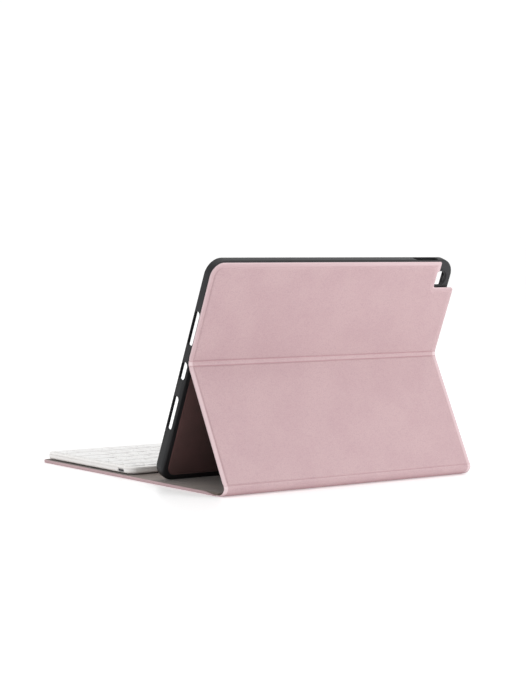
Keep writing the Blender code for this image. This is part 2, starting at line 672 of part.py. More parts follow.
ROSE = new_material("rose_faux_leather", (0.60, 0.41, 0.43), 0.45)
GREYBOARD = new_material("greyboard", (0.35, 0.33, 0.30), 0.9)
MICROFIBRE = new_material("grey_microfibre", (0.15, 0.14, 0.13), 0.95)
BLACK_TPU = new_material("black_tpu", (0.03, 0.03, 0.035), 0.5)
BROWN_LINER = new_material("brown_liner", (0.04, 0.02, 0.02), 0.8)
ADHESIVE = new_material("foam_adhesive", (0.7, 0.68, 0.6), 0.9)
WHITE_PLASTIC = new_material("white_abs", (0.85, 0.85, 0.85), 0.35)
KEY_PLASTIC = new_material("white_keycap", (0.88, 0.88, 0.88), 0.4)
GREY_PLASTIC = new_material("grey_switch", (0.5, 0.5, 0.5), 0.5)
CLEAR_PLASTIC = new_material("clear_plastic", (0.8, 0.85, 0.9), 0.2)
STEEL = new_material("steel", (0.55, 0.55, 0.56), 0.35, 1.0)
MAGNET_METAL = new_material("nickel_magnet", (0.6, 0.58, 0.55), 0.3, 1.0)
GREEN_BOARD = new_material("circuit_laminate", (0.02, 0.18, 0.07), 0.4)
FOIL = new_material("cell_foil", (0.55, 0.55, 0.58), 0.4, 0.8)
RUBBER = new_material("grey_rubber", (0.2, 0.2, 0.2), 0.8)

build_case()
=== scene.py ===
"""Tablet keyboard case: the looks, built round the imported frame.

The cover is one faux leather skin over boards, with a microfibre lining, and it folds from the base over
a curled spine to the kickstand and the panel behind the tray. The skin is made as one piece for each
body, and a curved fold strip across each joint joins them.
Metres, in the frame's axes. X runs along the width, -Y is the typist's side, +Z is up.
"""
import json
import math

import bmesh
import bpy
from mathutils import Matrix, Vector


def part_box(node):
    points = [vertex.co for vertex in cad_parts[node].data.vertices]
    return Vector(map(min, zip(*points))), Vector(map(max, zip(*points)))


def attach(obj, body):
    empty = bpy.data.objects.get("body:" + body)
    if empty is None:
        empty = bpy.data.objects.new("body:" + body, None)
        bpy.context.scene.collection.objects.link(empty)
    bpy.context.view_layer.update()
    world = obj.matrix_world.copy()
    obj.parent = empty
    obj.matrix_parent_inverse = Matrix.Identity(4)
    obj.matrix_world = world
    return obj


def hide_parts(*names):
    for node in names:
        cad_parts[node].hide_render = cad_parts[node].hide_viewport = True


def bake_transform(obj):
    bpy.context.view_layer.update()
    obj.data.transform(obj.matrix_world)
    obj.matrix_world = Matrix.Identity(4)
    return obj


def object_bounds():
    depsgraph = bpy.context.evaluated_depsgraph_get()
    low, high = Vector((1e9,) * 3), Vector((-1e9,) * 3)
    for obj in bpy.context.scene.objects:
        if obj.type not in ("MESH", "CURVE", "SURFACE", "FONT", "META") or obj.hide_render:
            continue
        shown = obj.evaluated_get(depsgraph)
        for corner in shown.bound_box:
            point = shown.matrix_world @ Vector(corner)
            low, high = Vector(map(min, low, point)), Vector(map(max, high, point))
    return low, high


MM = 0.001

# Cover. Heights are measured from the fold plane, the middle of the skin, towards the inner side.
HALF_WIDTH = 130.5 * MM
TRAY_TILT = math.radians(18.5)
SPINE_RADIUS = 8.0 * MM
SPINE_ARC = math.radians(80)
HALF_SKIN = 0.25 * MM
STRIP_REACH = 2.0 * MM
SIDE_FADE = 2.4 * MM
BASE_FRONT_RADIUS = 6.0 * MM
BASE_REAR_FADE = 16.0 * MM
BOARD_INSET = 4.5 * MM

# Upper panel, with the notch round the camera corner.
UPPER_TOP = 79.8 * MM
UPPER_RADIUS = 11.0 * MM
NOTCH_BOTTOM = 57.8 * MM
NOTCH_STEP = 71.2 * MM
NOTCH_INNER_X = -107.5 * MM
NOTCH_OUTER_X = -109.5 * MM
CAMERA_X = -114.2 * MM
CAMERA_HEIGHT = 64.8 * MM
CAMERA_OPENING = (12.5 * MM, 11.5 * MM)

# Tray, in the frame of the crease.
TRAY_WIDTH = 255.0 * MM
TRAY_TOP = 80.0 * MM
TRAY_BOTTOM = -98.0 * MM
TRAY_CORNER = 13.0 * MM
TRAY_LOW = 2.95 * MM
TRAY_HIGH = 11.55 * MM
TRAY_FLOOR = 4.35 * MM
TRAY_WALL = 1.7 * MM
TRAY_LIP = 1.0 * MM
TRAY_MIDDLE = (TRAY_TOP + TRAY_BOTTOM) / 2

# The tray's slots: length and width, and where each is along its edge.
SLOT_HEIGHT = 7.45 * MM
SLOT_FLARE = 0.6 * MM
SLOT_INWARD = 4.0 * MM
SLOT_OUTWARD = 2.0 * MM
PORT_SLOT = (14.0 * MM, 6.2 * MM)
SPEAKER_SLOT = (27.0 * MM, 5.4 * MM)
SPEAKER_OFFSET = 34.0 * MM
POWER_SLOT = (15.0 * MM, 5.4 * MM)
POWER_HEIGHT = 58.0 * MM
AUDIO_SLOT = (7.5 * MM, 6.2 * MM)
AUDIO_HEIGHT = -86.0 * MM
VOLUME_SLOT = (26.0 * MM, 5.4 * MM)
VOLUME_X = -97.0 * MM

# The suede film on the tray's lower back.
LINER_INSET = 5.0 * MM
LINER_CORNER = 8.0 * MM
LINER_TOP = -2.0 * MM

# Keyboard, about its centre.
KEYBOARD_X = 255.0 * MM
KEYBOARD_Y = 110.0 * MM
KEYBOARD_CORNER = 8.0 * MM
CASE_WALL = 1.2 * MM
CASE_BOTTOM = 3.35 * MM
CASE_FLOOR = 4.05 * MM
CASE_SPLIT_LOW = 6.85 * MM
CASE_SPLIT_HIGH = 7.0 * MM
CASE_ROOF = 7.9 * MM
CASE_TOP = 8.6 * MM
CASE_SHARP = 40
SOCKET_MOUTH = (8.0 * MM, 2.5 * MM)
SWITCH_SLOT = (7.1 * MM, 1.7 * MM)
SWITCH_TRAVEL = 2.5 * MM
KEY_RADIUS = 1.5 * MM
KEY_TOP = 9.2 * MM
KEY_BOTTOM = 7.45 * MM
KEY_PITCH = 17.8 * MM
KEY_HALF = 7.7 * MM
KEY_DISH = 0.12 * MM
KEY_SHARP = 50
WEB_LOW = 7.55 * MM
WEB_HIGH = 7.75 * MM

CORNER_STEPS = 14
SOFT_SHARP = 60
SECTION_END = 10.0 * MM
SCORE_DEPTH = 0.26 * MM
TUCK = 0.3 * MM


# --- Nodes and materials ---------------------------------------------------------------------

def linear(code):
    """An sRGB hex colour as linear RGBA."""
    channels = [int(code[place:place + 2], 16) / 255 for place in (0, 2, 4)]
    return (*[c / 12.92 if c <= 0.04045 else ((c + 0.055) / 1.055) ** 2.4 for c in channels], 1.0)


def node(tree, kind, inputs=None, **settings):
    """Add a node, set its properties, and give each input a value or link it to another node's socket."""
    made = tree.nodes.new(kind)
    for name, value in settings.items():
        setattr(made, name, value)
    for socket, value in (inputs or {}).items():
        if isinstance(value, bpy.types.NodeSocket):
            tree.links.new(value, made.inputs[socket])
        else:
            made.inputs[socket].default_value = value
    return made


def blank_material(name, roughness, **uniform):
    """A material with one Principled shader. Uniform values go straight on its sockets."""
    material = bpy.data.materials.new(name)
    material.use_nodes = True
    tree = material.node_tree
    shader = tree.nodes["Principled BSDF"]
    shader.inputs["Roughness"].default_value = roughness
    for socket, value in uniform.items():
        shader.inputs[socket.replace("_", " ")].default_value = value
    place = node(tree, "ShaderNodeTexCoord").outputs["Object"]
    return material, tree, shader, place


def noise(tree, place, size, detail=2.0, stretch=(1, 1, 1)):
    """A noise whose features are about the given size, in metres."""
    mapped = node(tree, "ShaderNodeMapping", {"Vector": place, "Scale": [s / size for s in stretch]})
    return node(tree, "ShaderNodeTexNoise", {"Vector": mapped.outputs["Vector"], "Scale": 1.0,
                                             "Detail": detail}).outputs["Fac"]


def ramp(tree, factor, low, high, low_value, high_value):
    """Map a factor between two limits to two values, smoothly."""
    return node(tree, "ShaderNodeMapRange", {"Value": factor, "From Min": low, "From Max": high,
                                             "To Min": low_value, "To Max": high_value},
                interpolation_type="SMOOTHSTEP").outputs["Result"]


def mix_colour(tree, factor, first, second, blend_type="MIX"):
    """Mix two colours. On a colour Mix node the factor is socket 0 and the two colours are 6 and 7."""
    return node(tree, "ShaderNodeMix", {0: factor, 6: first, 7: second}, data_type="RGBA",
                blend_type=blend_type).outputs[2]


def bump(tree, shader, height, depth, under=None):
    """Relief of a real depth, in metres, on the shader, over an earlier relief if there is one."""
    inputs = {"Height": height, "Distance": depth, "Strength": 1.0}
    if under is not None:
        inputs["Normal"] = under
    normal = node(tree, "ShaderNodeBump", inputs).outputs["Normal"]
    tree.links.new(normal, shader.inputs["Normal"])
    return normal


def mottled_material(name, light, dark, roughness, grain, depth, cloud=15 * MM, rough_spread=0.06,
                     stretch=(1, 1, 1), **uniform):
    """The common build of the moulded, coated and pressed finishes: a soft cloud between two close tones,
    a fine grain in the relief, and a roughness that follows the grain."""
    material, tree, shader, place = blank_material(name, roughness, **uniform)
    fine = noise(tree, place, grain, 3.0, stretch)
    soft = noise(tree, place, cloud)
    blend = node(tree, "ShaderNodeMath", {0: ramp(tree, soft, 0.3, 0.7, 0.0, 0.6),
                                          1: ramp(tree, fine, 0.3, 0.7, 0.0, 0.4)}, operation="ADD")
    colour = mix_colour(tree, blend.outputs[0], linear(light), linear(dark))
    tree.links.new(colour, shader.inputs["Base Color"])
    spread = ramp(tree, fine, 0.25, 0.75, roughness - rough_spread, roughness + rough_spread)
    tree.links.new(spread, shader.inputs["Roughness"])
    bump(tree, shader, fine, depth)
    return material


def rose_leather():
    """Polyurethane faux leather, embossed with a fine pebble: satin, with a slightly pearly rose pigment.
    The pressed borders are drawn paler. The pebbles are drawn at 0.9 mm so that they show."""
    material, tree, shader, place = blank_material(
        "rose_faux_leather", 0.46, Sheen_Weight=0.12, Sheen_Roughness=0.4, Coat_Weight=0.08,
        Coat_Roughness=0.35)
    pebble_place = node(tree, "ShaderNodeMapping", {"Vector": place, "Scale": [1 / (0.9 * MM)] * 3})
    pebble = node(tree, "ShaderNodeTexVoronoi",
                  {"Vector": pebble_place.outputs["Vector"], "Scale": 1.0, "Smoothness": 0.6},
                  feature="SMOOTH_F1").outputs["Distance"]
    pore = noise(tree, place, 0.35 * MM, 2.0)
    cloud = noise(tree, place, 30 * MM, 3.0)
    streak = noise(tree, place, 3.2 * MM, 3.0, (1, 2.2, 2.2))
    tone = mix_colour(tree, ramp(tree, cloud, 0.32, 0.68, 0.0, 1.0), linear("b89a9d"), linear("b39498"))
    tone = mix_colour(tree, ramp(tree, streak, 0.35, 0.7, 0.0, 0.3), tone, linear("bba0a3"))
    tone = mix_colour(tree, ramp(tree, pebble, 0.35, 0.8, 0.0, 0.3), tone, linear("9d8086"))
    border = node(tree, "ShaderNodeAttribute", attribute_name="border").outputs["Fac"]
    tone = mix_colour(tree, border, tone, linear("d2bcbf"))
    # Painted shade: darkens the leather towards 99686e in the scored lines, at the foot of each border's step and
    # on the spine's underside near the floor.
    score = node(tree, "ShaderNodeAttribute", attribute_name="score").outputs["Fac"]
    tone = mix_colour(tree, score, tone, linear("99686e"))
    tree.links.new(tone, shader.inputs["Base Color"])
    tree.links.new(ramp(tree, pore, 0.3, 0.7, 0.44, 0.56), shader.inputs["Roughness"])
    under = bump(tree, shader, cloud, 0.3 * MM)
    under = bump(tree, shader, pebble, -0.05 * MM, under)
    bump(tree, shader, pore, 0.02 * MM, under)
    return material


def microfibre():
    """Brushed polyester microfibre: a short nap that scatters light and lies in soft strokes."""
    material, tree, shader, place = blank_material("grey_microfibre", 0.85, Sheen_Weight=0.35,
                                                   Sheen_Roughness=0.5)
    fibre = noise(tree, place, 0.3 * MM, 3.0, (1, 0.45, 1))
    stroke = noise(tree, place, 14 * MM, 3.0, (1, 0.5, 1))
    tone = mix_colour(tree, ramp(tree, stroke, 0.35, 0.65, 0.0, 1.0), linear("7e6c61"), linear("6d5d53"))
    tone = mix_colour(tree, ramp(tree, fibre, 0.3, 0.7, 0.0, 0.5), tone, linear("594b42"))
    tree.links.new(tone, shader.inputs["Base Color"])
    bump(tree, shader, fibre, 0.12 * MM)
    return material


def tray_tpu():
    """Injection-moulded thermoplastic polyurethane, matt black from a spark-eroded mould."""
    return mottled_material("black_tpu", "252527", "1e1e20", 0.44, 0.3 * MM, 0.02 * MM, 22 * MM, 0.05,
                            Specular_IOR_Level=0.3)


def inner_tpu():
    """The same polyurethane inside the tray, with moulded dots 2 mm apart against sticking."""
    material, tree, shader, place = blank_material("black_tpu_dotted", 0.5)
    turned = node(tree, "ShaderNodeMapping", {"Vector": place, "Rotation": (TRAY_TILT - math.pi / 2, 0, 0)},
                  vector_type="POINT")
    cell = node(tree, "ShaderNodeVectorMath", {0: turned.outputs["Vector"], 1: [500.0, 500.0, 0.0]},
                operation="MULTIPLY")
    cell = node(tree, "ShaderNodeVectorMath", {0: cell.outputs["Vector"]}, operation="FRACTION")
    cell = node(tree, "ShaderNodeVectorMath", {0: cell.outputs["Vector"], 1: (0.5, 0.5, 0.0)},
                operation="DISTANCE")
    dot = ramp(tree, cell.outputs["Value"], 0.22, 0.34, 1.0, 0.0)
    grain = noise(tree, place, 0.3 * MM)
    tone = mix_colour(tree, dot, linear("262628"), linear("323235"))
    tree.links.new(tone, shader.inputs["Base Color"])
    tree.links.new(ramp(tree, grain, 0.3, 0.7, 0.46, 0.56), shader.inputs["Roughness"])
    under = bump(tree, shader, dot, 0.08 * MM)
    bump(tree, shader, grain, 0.02 * MM, under)
    return material


def brushed_steel(name, light, dark, roughness):
    """Cold-rolled sheet, with fine rolling lines along X."""
    return mottled_material(name, light, dark, roughness, 0.25 * MM, 0.006 * MM, 8 * MM, 0.07, (0.08, 1, 1),
                            Metallic=1.0)


def fibre_board():
    """Grey chipboard: pressed waste paper, with darker flecks and short fibres."""
    material, tree, shader, place = blank_material("greyboard", 0.92)
    fleck = noise(tree, place, 0.9 * MM, 4.0, (1, 0.4, 1))
    cloud = noise(tree, place, 9 * MM)
    tone = mix_colour(tree, ramp(tree, cloud, 0.3, 0.7, 0.0, 1.0), linear("a39c91"), linear("8d867c"))
    tone = mix_colour(tree, ramp(tree, fleck, 0.6, 0.72, 0.0, 0.6), tone, linear("5d5851"))
    tree.links.new(tone, shader.inputs["Base Color"])
    bump(tree, shader, fleck, 0.06 * MM)
    return material


def circuit_laminate():
    """Glass-epoxy laminate under green solder mask, with faint copper runs 1.6 mm apart."""
    material, tree, shader, place = blank_material("circuit_laminate", 0.35, Coat_Weight=0.3)
    runs = node(tree, "ShaderNodeTexBrick", {"Vector": place, "Scale": 1 / (1.6 * MM), "Mortar Size": 0.12,
                                             "Color1": linear("175c36"), "Color2": linear("1b6a3e"),
                                             "Mortar": linear("3a8a55")})
    tree.links.new(runs.outputs["Color"], shader.inputs["Base Color"])
    bump(tree, shader, runs.outputs["Fac"], 0.02 * MM)
    return material


# --- Meshes ----------------------------------------------------------------------------------

def smooth_step(value):
    clamped = min(1.0, max(0.0, value))
    return clamped * clamped * (3 - 2 * clamped)


def lerp(first, second, factor):
    return first + (second - first) * factor


def outline(corners, steps=CORNER_STEPS):
    """Points through (x, y, radius) corners. A radius of None keeps the corner sharp."""
    points = []
    for index, (x, y, radius) in enumerate(corners):
        corner = Vector((x, y))
        if radius is None:
            points.append(corner)
            continue
        before = (Vector(corners[index - 1][:2]) - corner).normalized()
        after = (Vector(corners[(index + 1) % len(corners)][:2]) - corner).normalized()
        half_angle = before.angle(after) / 2
        if half_angle > math.radians(89):
            points += [corner + lerp(before, after, step / steps) * radius
                       for step in range(steps + 1)]
            continue
        reach = radius / math.tan(half_angle)
        centre = corner + (before + after).normalized() * (radius / math.sin(half_angle))
        spoke = corner + before * reach - centre
        turn = math.copysign(math.pi - 2 * half_angle, after.cross(before))
        for step in range(steps + 1):
            angle = turn * step / steps
            points.append(centre + Vector((spoke.x * math.cos(angle) - spoke.y * math.sin(angle),
                                           spoke.x * math.sin(angle) + spoke.y * math.cos(angle))))
    return points


def round_rectangle(half_x, y_low, y_high, radius, steps=CORNER_STEPS):
    safe = max(radius, 0.05 * MM)
    return outline([(-half_x, y_low, safe), (half_x, y_low, safe), (half_x, y_high, safe),
                    (-half_x, y_high, safe)], steps)


def ring(points, height):
    return [Vector((point[0], point[1], height)) for point in points]


def loft(rings, closed=False):
    """A solid through rings with equal numbers of points, capped at both ends or closed on itself."""
    shape = bmesh.new()
    loops = [[shape.verts.new(point) for point in loop] for loop in rings]
    spans = list(zip(loops, loops[1:]))
    if closed:
        spans.append((loops[-1], loops[0]))
    for near, far in spans:
        for index in range(len(near)):
            after = (index + 1) % len(near)
            shape.faces.new((near[index], near[after], far[after], far[index]))
    if not closed:
        shape.faces.new(loops[0])
        shape.faces.new(loops[-1])
    return shape


def shade(mesh, sharp):
    """Smooth shading, apart from edges sharper than an angle in degrees."""
    mesh.shade_smooth()
    mesh.set_sharp_from_angle(angle=math.radians(sharp))


def placed(name, data):
    """A new object in the scene for a mesh, light or camera."""
    made = bpy.data.objects.new(name, data)
    bpy.context.scene.collection.objects.link(made)
    return made


def moved(shape, matrix):
    bmesh.ops.transform(shape, matrix=matrix, verts=shape.verts)
    return shape


def facing_x(x, y, z, side=1):
    """Turn a shape's own Z to face along X or -X, with its X along Y and its Y along Z."""
    return Matrix(((0, 0, side, x), (1, 0, 0, y), (0, 1, 0, z), (0, 0, 0, 1)))


def facing_y(x, y, z):
    """Turn a shape's own Z to face along Y, with its Y along Z."""
    return Matrix(((1, 0, 0, x), (0, 0, 1, y), (0, 1, 0, z), (0, 0, 0, 1)))


def centre_and_half(node_name):
    """The middle of a CAD node's box, and half its size."""
    low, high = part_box(node_name)
    return (low + high) / 2, (high - low) / 2


def piece(name, shape, material, matrix=None, sharp=38.0):
    """Turn a bmesh into an object at the origin, with its place in its mesh and its faces outwards."""
    bmesh.ops.remove_doubles(shape, verts=shape.verts, dist=0.001 * MM)
    if matrix is not None:
        moved(shape, matrix)
    bmesh.ops.dissolve_degenerate(shape, edges=shape.edges, dist=0.0005 * MM)
    bmesh.ops.recalc_face_normals(shape, faces=shape.faces)
    mesh = bpy.data.meshes.new(name)
    shape.to_mesh(mesh)
    shape.free()
    mesh.materials.append(material)
    shade(mesh, sharp)
    return placed(name, mesh)


def joined(shapes):
    """Several bmeshes as one."""
    whole = shapes[0]
    for shape in shapes[1:]:
        part = bpy.data.meshes.new("part")
        shape.to_mesh(part)
        shape.free()
        whole.from_mesh(part)
        bpy.data.meshes.remove(part)
    return whole


def cut(target, cutter_shape):
    """Cut a bmesh from an object, and keep the result as the object's mesh."""
    tool = piece(target.name + "_tool", cutter_shape, target.data.materials[0])
    modifier = target.modifiers.new("cut", "BOOLEAN")
    modifier.operation = "DIFFERENCE"
    modifier.object = tool
    modifier.solver = "EXACT"
    evaluated = target.evaluated_get(bpy.context.evaluated_depsgraph_get())
    mesh = bpy.data.meshes.new_from_object(evaluated)
    target.modifiers.clear()
    target.data = mesh
    bpy.data.objects.remove(tool)


def finish_piece(made, body, slot, *nodes):
    """Ride on a body and stand for CAD nodes, which it hides. The slot is not used."""
    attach(made, body)
    if nodes:
        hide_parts(*nodes)
    return made


# --- The cover's chain of frames -------------------------------------------------------------

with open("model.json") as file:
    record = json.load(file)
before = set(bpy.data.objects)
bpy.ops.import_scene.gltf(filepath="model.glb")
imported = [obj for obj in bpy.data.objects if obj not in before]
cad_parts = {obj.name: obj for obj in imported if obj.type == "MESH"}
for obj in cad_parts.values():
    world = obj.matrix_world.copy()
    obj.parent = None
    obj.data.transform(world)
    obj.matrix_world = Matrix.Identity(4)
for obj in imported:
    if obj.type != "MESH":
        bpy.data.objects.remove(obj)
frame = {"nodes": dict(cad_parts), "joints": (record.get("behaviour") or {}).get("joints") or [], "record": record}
CAD_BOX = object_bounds()
FOLDS = {joint["name"]: Vector(joint["pos_m"]) for joint in frame["joints"] if joint["type"] == "hinge"}
SPINE_AXIS, STAND_AXIS, CREASE_AXIS = (FOLDS[name] for name in ("spine_fold", "stand_fold", "crease_fold"))
STAND_LENGTH = (CREASE_AXIS - STAND_AXIS).length
STAND_LEAN = math.atan2(CREASE_AXIS.z - STAND_AXIS.z, CREASE_AXIS.y - STAND_AXIS.y)


def chain_frame(place, angle):
    """X across the case, Y along the cover and Z to its inner side."""
    return Matrix.Translation(place) @ Matrix.Rotation(angle, 4, "X")


BASE = chain_frame((0, 0, HALF_SKIN), 0.0)
KICKSTAND = chain_frame(STAND_AXIS, STAND_LEAN)
TRAY = chain_frame(CREASE_AXIS, math.pi / 2 - TRAY_TILT)
BASE_REAR = SPINE_AXIS.y
BASE_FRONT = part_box("base_skin")[0].y

ROSE = rose_leather()
MICROFIBRE = microfibre()
FIBRE_BOARD = fibre_board()
TPU = tray_tpu()
TPU_INSIDE = inner_tpu()


def mark(made, border_of, painted_shade_of=None):
    """Give each point of the leather its share of border, which is drawn paler, and of painted shade, which
    is darker, as in the scored lines. The foot of the border's step gets a faint painted shadow."""
    borders = [border_of(vertex.co) for vertex in made.data.vertices]
    # Painted shadow at the foot of each border's step.
    painted_shades = [0.9 * border * (1 - border) for border in borders]
    if painted_shade_of:
        painted_shades = [max(score, painted_shade_of(vertex.co)) for score, vertex in zip(painted_shades, made.data.vertices)]
    for name, values in (("border", borders), ("score", painted_shades)):
        layer = made.data.attributes.new(name, "FLOAT", "POINT")
        layer.data.foreach_set("value", values)


def score_line_shade(distance, shade=0.45):
    """The share of painted shade in a scored line 0.8 mm wide, fading at its edge."""
    return shade * (1 - smooth_step((distance - 0.25 * MM) / (0.45 * MM)))


def edge_share(gap, width):
    """1 within a width in mm of a panel's edge, fading out over the next 1.1 mm."""
    return 1.0 - smooth_step((gap - width * MM) / (1.1 * MM))


def side_border(place):
    """1 on the flange along the case's two sides."""
    return edge_share(HALF_WIDTH - abs(place.x), 3.0)


# A panel's section, outer face first: side inset, fold inset, height at the side, height at the fold.
RAISED = -0.5
PANEL_SECTION = [(6.0, 2.2, RAISED, RAISED), (5.0, 1.5, RAISED, RAISED),
                 (4.6, 1.0, RAISED + 0.03, RAISED + 0.03), (4.3, 0.72, -0.34, -0.36),
                 (4.05, 0.5, -0.1, -0.16), (3.8, 0.32, 0.07, -0.02), (3.55, 0.18, 0.13, 0.03),
                 (3.2, 0.08, 0.12, 0.05), (2.0, 0.0, 0.1, 0.05), (0.8, 0.0, 0.1, 0.05),
                 (0.45, 0.0, 0.13, 0.06), (0.18, 0.0, 0.24, 0.08), (0.04, 0.0, 0.4, 0.1),
                 (0.0, 0.0, 0.58, 0.12), (0.04, 0.0, 0.76, 0.14), (0.18, 0.0, 0.92, 0.17),
                 (0.45, 0.0, 1.02, 0.2), (0.8, 0.0, 1.05, 0.22), (1.15, 0.0, 1.02, 0.23),
                 (1.3, 0.0, 0.66, 0.24), (4.0, 0.05, 0.64, 0.25), (4.25, 0.2, 0.26, 0.25),
                 (6.0, 1.0, 0.26, 0.25)]
# The lining's section over the board, from its hidden face round to its shown face. At the folds it laps
# past the board's end and down to the strip.
LINING_SECTION = [(6.5, 1.6, 1.7, 1.7), (5.2, 0.6, 1.7, 1.7), (4.5, 0.1, 1.66, 1.66),
                  (3.9, -0.1, 0.95, 1.6), (3.4, -0.5, 0.74, 0.74), (2.4, -0.75, 0.72, 0.5),
                  (1.42, -0.8, 0.72, 0.4), (1.36, -0.82, 0.86, 0.5), (1.36, -0.82, 0.98, 0.6),
                  (1.46, -0.8, 1.08, 0.7), (1.7, -0.75, 1.12, 0.76), (2.6, -0.6, 1.12, 0.95),
                  (3.3, -0.45, 1.16, 1.3), (3.8, -0.25, 1.42, 1.75), (4.3, 0.05, 1.92, 2.0),
                  (4.9, 0.5, 2.12, 2.12), (5.6, 1.1, 2.15, 2.15), (6.8, 2.2, 2.15, 2.15)]
SIDE_STOPS = [0.5 * MM, 1.0 * MM, 1.6 * MM, SIDE_FADE]


def side_points(x, low, high, stops):
    """Points up one straight side, closer together near its ends."""
    heights = [low] + [low + stop for stop in stops] + [high - stop for stop in reversed(stops)] + [high]
    return [(x, height) for height in heights]


def height_near(side_height, at_fold, distance, fade=SIDE_FADE):
    """A section row's height at a distance from the fold, in metres."""
    return lerp(at_fold, side_height, smooth_step(distance / fade)) * MM


def kickstand_ring(row):
    inset, fold_inset, side_height, at_fold = row
    x = HALF_WIDTH - inset * MM
    low = STRIP_REACH + fold_inset * MM
    high = STAND_LENGTH - STRIP_REACH - fold_inset * MM
    points = side_points(x, low, high, SIDE_STOPS)
    points += [(-x, v) for _, v in reversed(points)]
    middle = STAND_LENGTH / 2
    return [Vector((px, v, height_near(side_height, at_fold, middle - abs(v - middle) - STRIP_REACH)))
            for px, v in points]


def upper_ring(row):
    """The upper panel's ring. Past the flange, its outline leaves out the small tab over the camera."""
    inset, fold_inset, side_height, at_fold = row
    inset *= MM
    low = STRIP_REACH + fold_inset * MM
    half = HALF_WIDTH - inset
    top = UPPER_TOP - inset
    inner = NOTCH_INNER_X + inset
    bottom = NOTCH_BOTTOM - inset
    if inset < 3.0 * MM:
        outer = NOTCH_OUTER_X + inset
        step = NOTCH_STEP + inset
        tab = [(outer, top, max(0.2 * MM, 1.8 * MM - inset)),
               (outer, step, max(0.2 * MM, 1.0 * MM - inset / 2)), (inner, step, 0.6 * MM)]
    else:
        span = top - bottom
        tab = [(inner, top, 1.0 * MM), (inner, top - 0.3 * span, 0.5 * MM),
               (inner, top - 0.6 * span, 0.5 * MM)]
    corners = [(half, top, UPPER_RADIUS - inset), *tab, (inner, bottom, 2.0 * MM + inset),
               (-half, bottom, max(0.4 * MM, 3.0 * MM - inset))]
    rounded = outline([(half, low, None)] + corners + [(-half, low, None)])
    right = [(half, low + stop) for stop in SIDE_STOPS]
    left = [(-half, low + stop) for stop in reversed(SIDE_STOPS)]
    points = [(half, low)] + right + [tuple(point) for point in rounded[1:-1]] + left + [(-half, low)]
    return [Vector((px, v, height_near(side_height, at_fold, v - STRIP_REACH))) for px, v in points]


def base_ring(row):
    """The base's ring. Its side flange hangs at the lining's level and drops to the fold at the rear."""
    inset, fold_inset, side_height, at_fold = row
    half = HALF_WIDTH - inset * MM
    rear = BASE_REAR - STRIP_REACH - fold_inset * MM
    front = BASE_FRONT + inset * MM
    radius = max(0.5 * MM, BASE_FRONT_RADIUS - inset * MM)
    corners = [(-half, front, radius), (half, front, radius), (half, rear, None), (-half, rear, None)]
    front_part = [tuple(point) for point in outline(corners)[:-2]]
    stops = [BASE_REAR_FADE * share for share in (0.06, 0.14, 0.25, 0.38, 0.52, 0.68, 0.84, 1.0)]
    right = [(half, rear - stop) for stop in reversed(stops)] + [(half, rear)]
    left = [(-half, rear)] + [(-half, rear - stop) for stop in stops]
    fade = BASE_REAR_FADE * 0.9
    return [Vector((px, y, height_near(side_height, at_fold, BASE_REAR - STRIP_REACH - y, fade)))
            for px, y in front_part + right + left]


# The base's skin is flat on the ground and wraps round the board's edge, up beside the lining.
BASE_SECTION = [(7.0, 2.0, -0.25, -0.25), (1.6, 0.6, -0.25, -0.25), (0.9, 0.3, -0.22, -0.24),
                (0.45, 0.1, -0.1, -0.22), (0.18, 0.0, 0.12, -0.15), (0.04, 0.0, 0.45, -0.05),
                (0.0, 0.0, 0.9, 0.08), (0.0, 0.0, 1.45, 0.2), (0.05, 0.0, 1.85, 0.35),
                (0.2, 0.0, 2.04, 0.48), (0.42, 0.0, 2.12, 0.58), (0.7, 0.0, 2.14, 0.64),
                (0.95, 0.0, 2.12, 0.64), (1.05, 0.0, 2.05, 0.6), (1.15, 0.0, 1.72, 0.3),
                (4.1, 0.1, 1.7, 0.25), (4.3, 0.4, 0.27, 0.25), (7.0, 2.0, 0.26, 0.25)]
BASE_LINING_SECTION = [(7.0, 1.6, 1.7, 1.7), (4.0, 0.6, 1.7, 1.7), (2.4, 0.05, 1.7, 1.66),
                       (1.3, -0.2, 1.72, 1.1), (1.24, -0.72, 1.8, 0.5), (1.22, -0.8, 1.95, 0.5),
                       (1.28, -0.82, 2.06, 0.62), (1.5, -0.75, 2.13, 0.76), (2.2, -0.55, 2.15, 1.05),
                       (3.2, -0.3, 2.15, 1.6), (4.6, 0.1, 2.15, 2.02), (5.6, 0.7, 2.15, 2.13),
                       (7.5, 2.4, 2.15, 2.15)]


def in_frame(matrix, value_of):
    """A function of a place in a panel's own frame, for places in the object's frame."""
    inverse = matrix.inverted()
    return lambda place: value_of(inverse @ place)


def upper_gap(place):
    """How far a place is from the upper panel's sides, top or notch, whichever is nearest."""
    top_gap = UPPER_TOP - place.y
    side_gap = HALF_WIDTH - place.x
    reach = UPPER_RADIUS
    if top_gap < reach and side_gap < reach:
        gap = reach - math.hypot(reach - top_gap, reach - side_gap)
    else:
        gap = min(top_gap, side_gap, HALF_WIDTH + place.x)
    if place.x < NOTCH_INNER_X + 6 * MM:
        if place.y > NOTCH_BOTTOM:
            gap = min(gap, place.x - NOTCH_INNER_X)
        elif place.x < NOTCH_INNER_X:
            gap = min(gap, NOTCH_BOTTOM - place.y)
        else:
            gap = min(gap, math.hypot(place.x - NOTCH_INNER_X, NOTCH_BOTTOM - place.y))
    return gap


def upper_border(place):
    """The upper panel's flange, with a paler line at its very edge."""
    gap = upper_gap(place)
    return 0.45 * edge_share(gap, 3.0) + 0.4 * edge_share(gap, 0.3)


def kickstand_score_shade(place):
    """Painted shade in the scored lines at the kickstand's two folds. The lower one is fainter."""
    middle = STAND_LENGTH / 2
    shade_here = 0.45 if place.y > middle else 0.2
    return score_line_shade(middle - STRIP_REACH - abs(place.y - middle), shade_here)


def panel(name, ring_of, section, material, matrix):
    """A panel or lining lofted through its section's rings, in its own frame."""
    return piece(name, loft([ring_of(row) for row in section]), material, matrix, SOFT_SHARP)


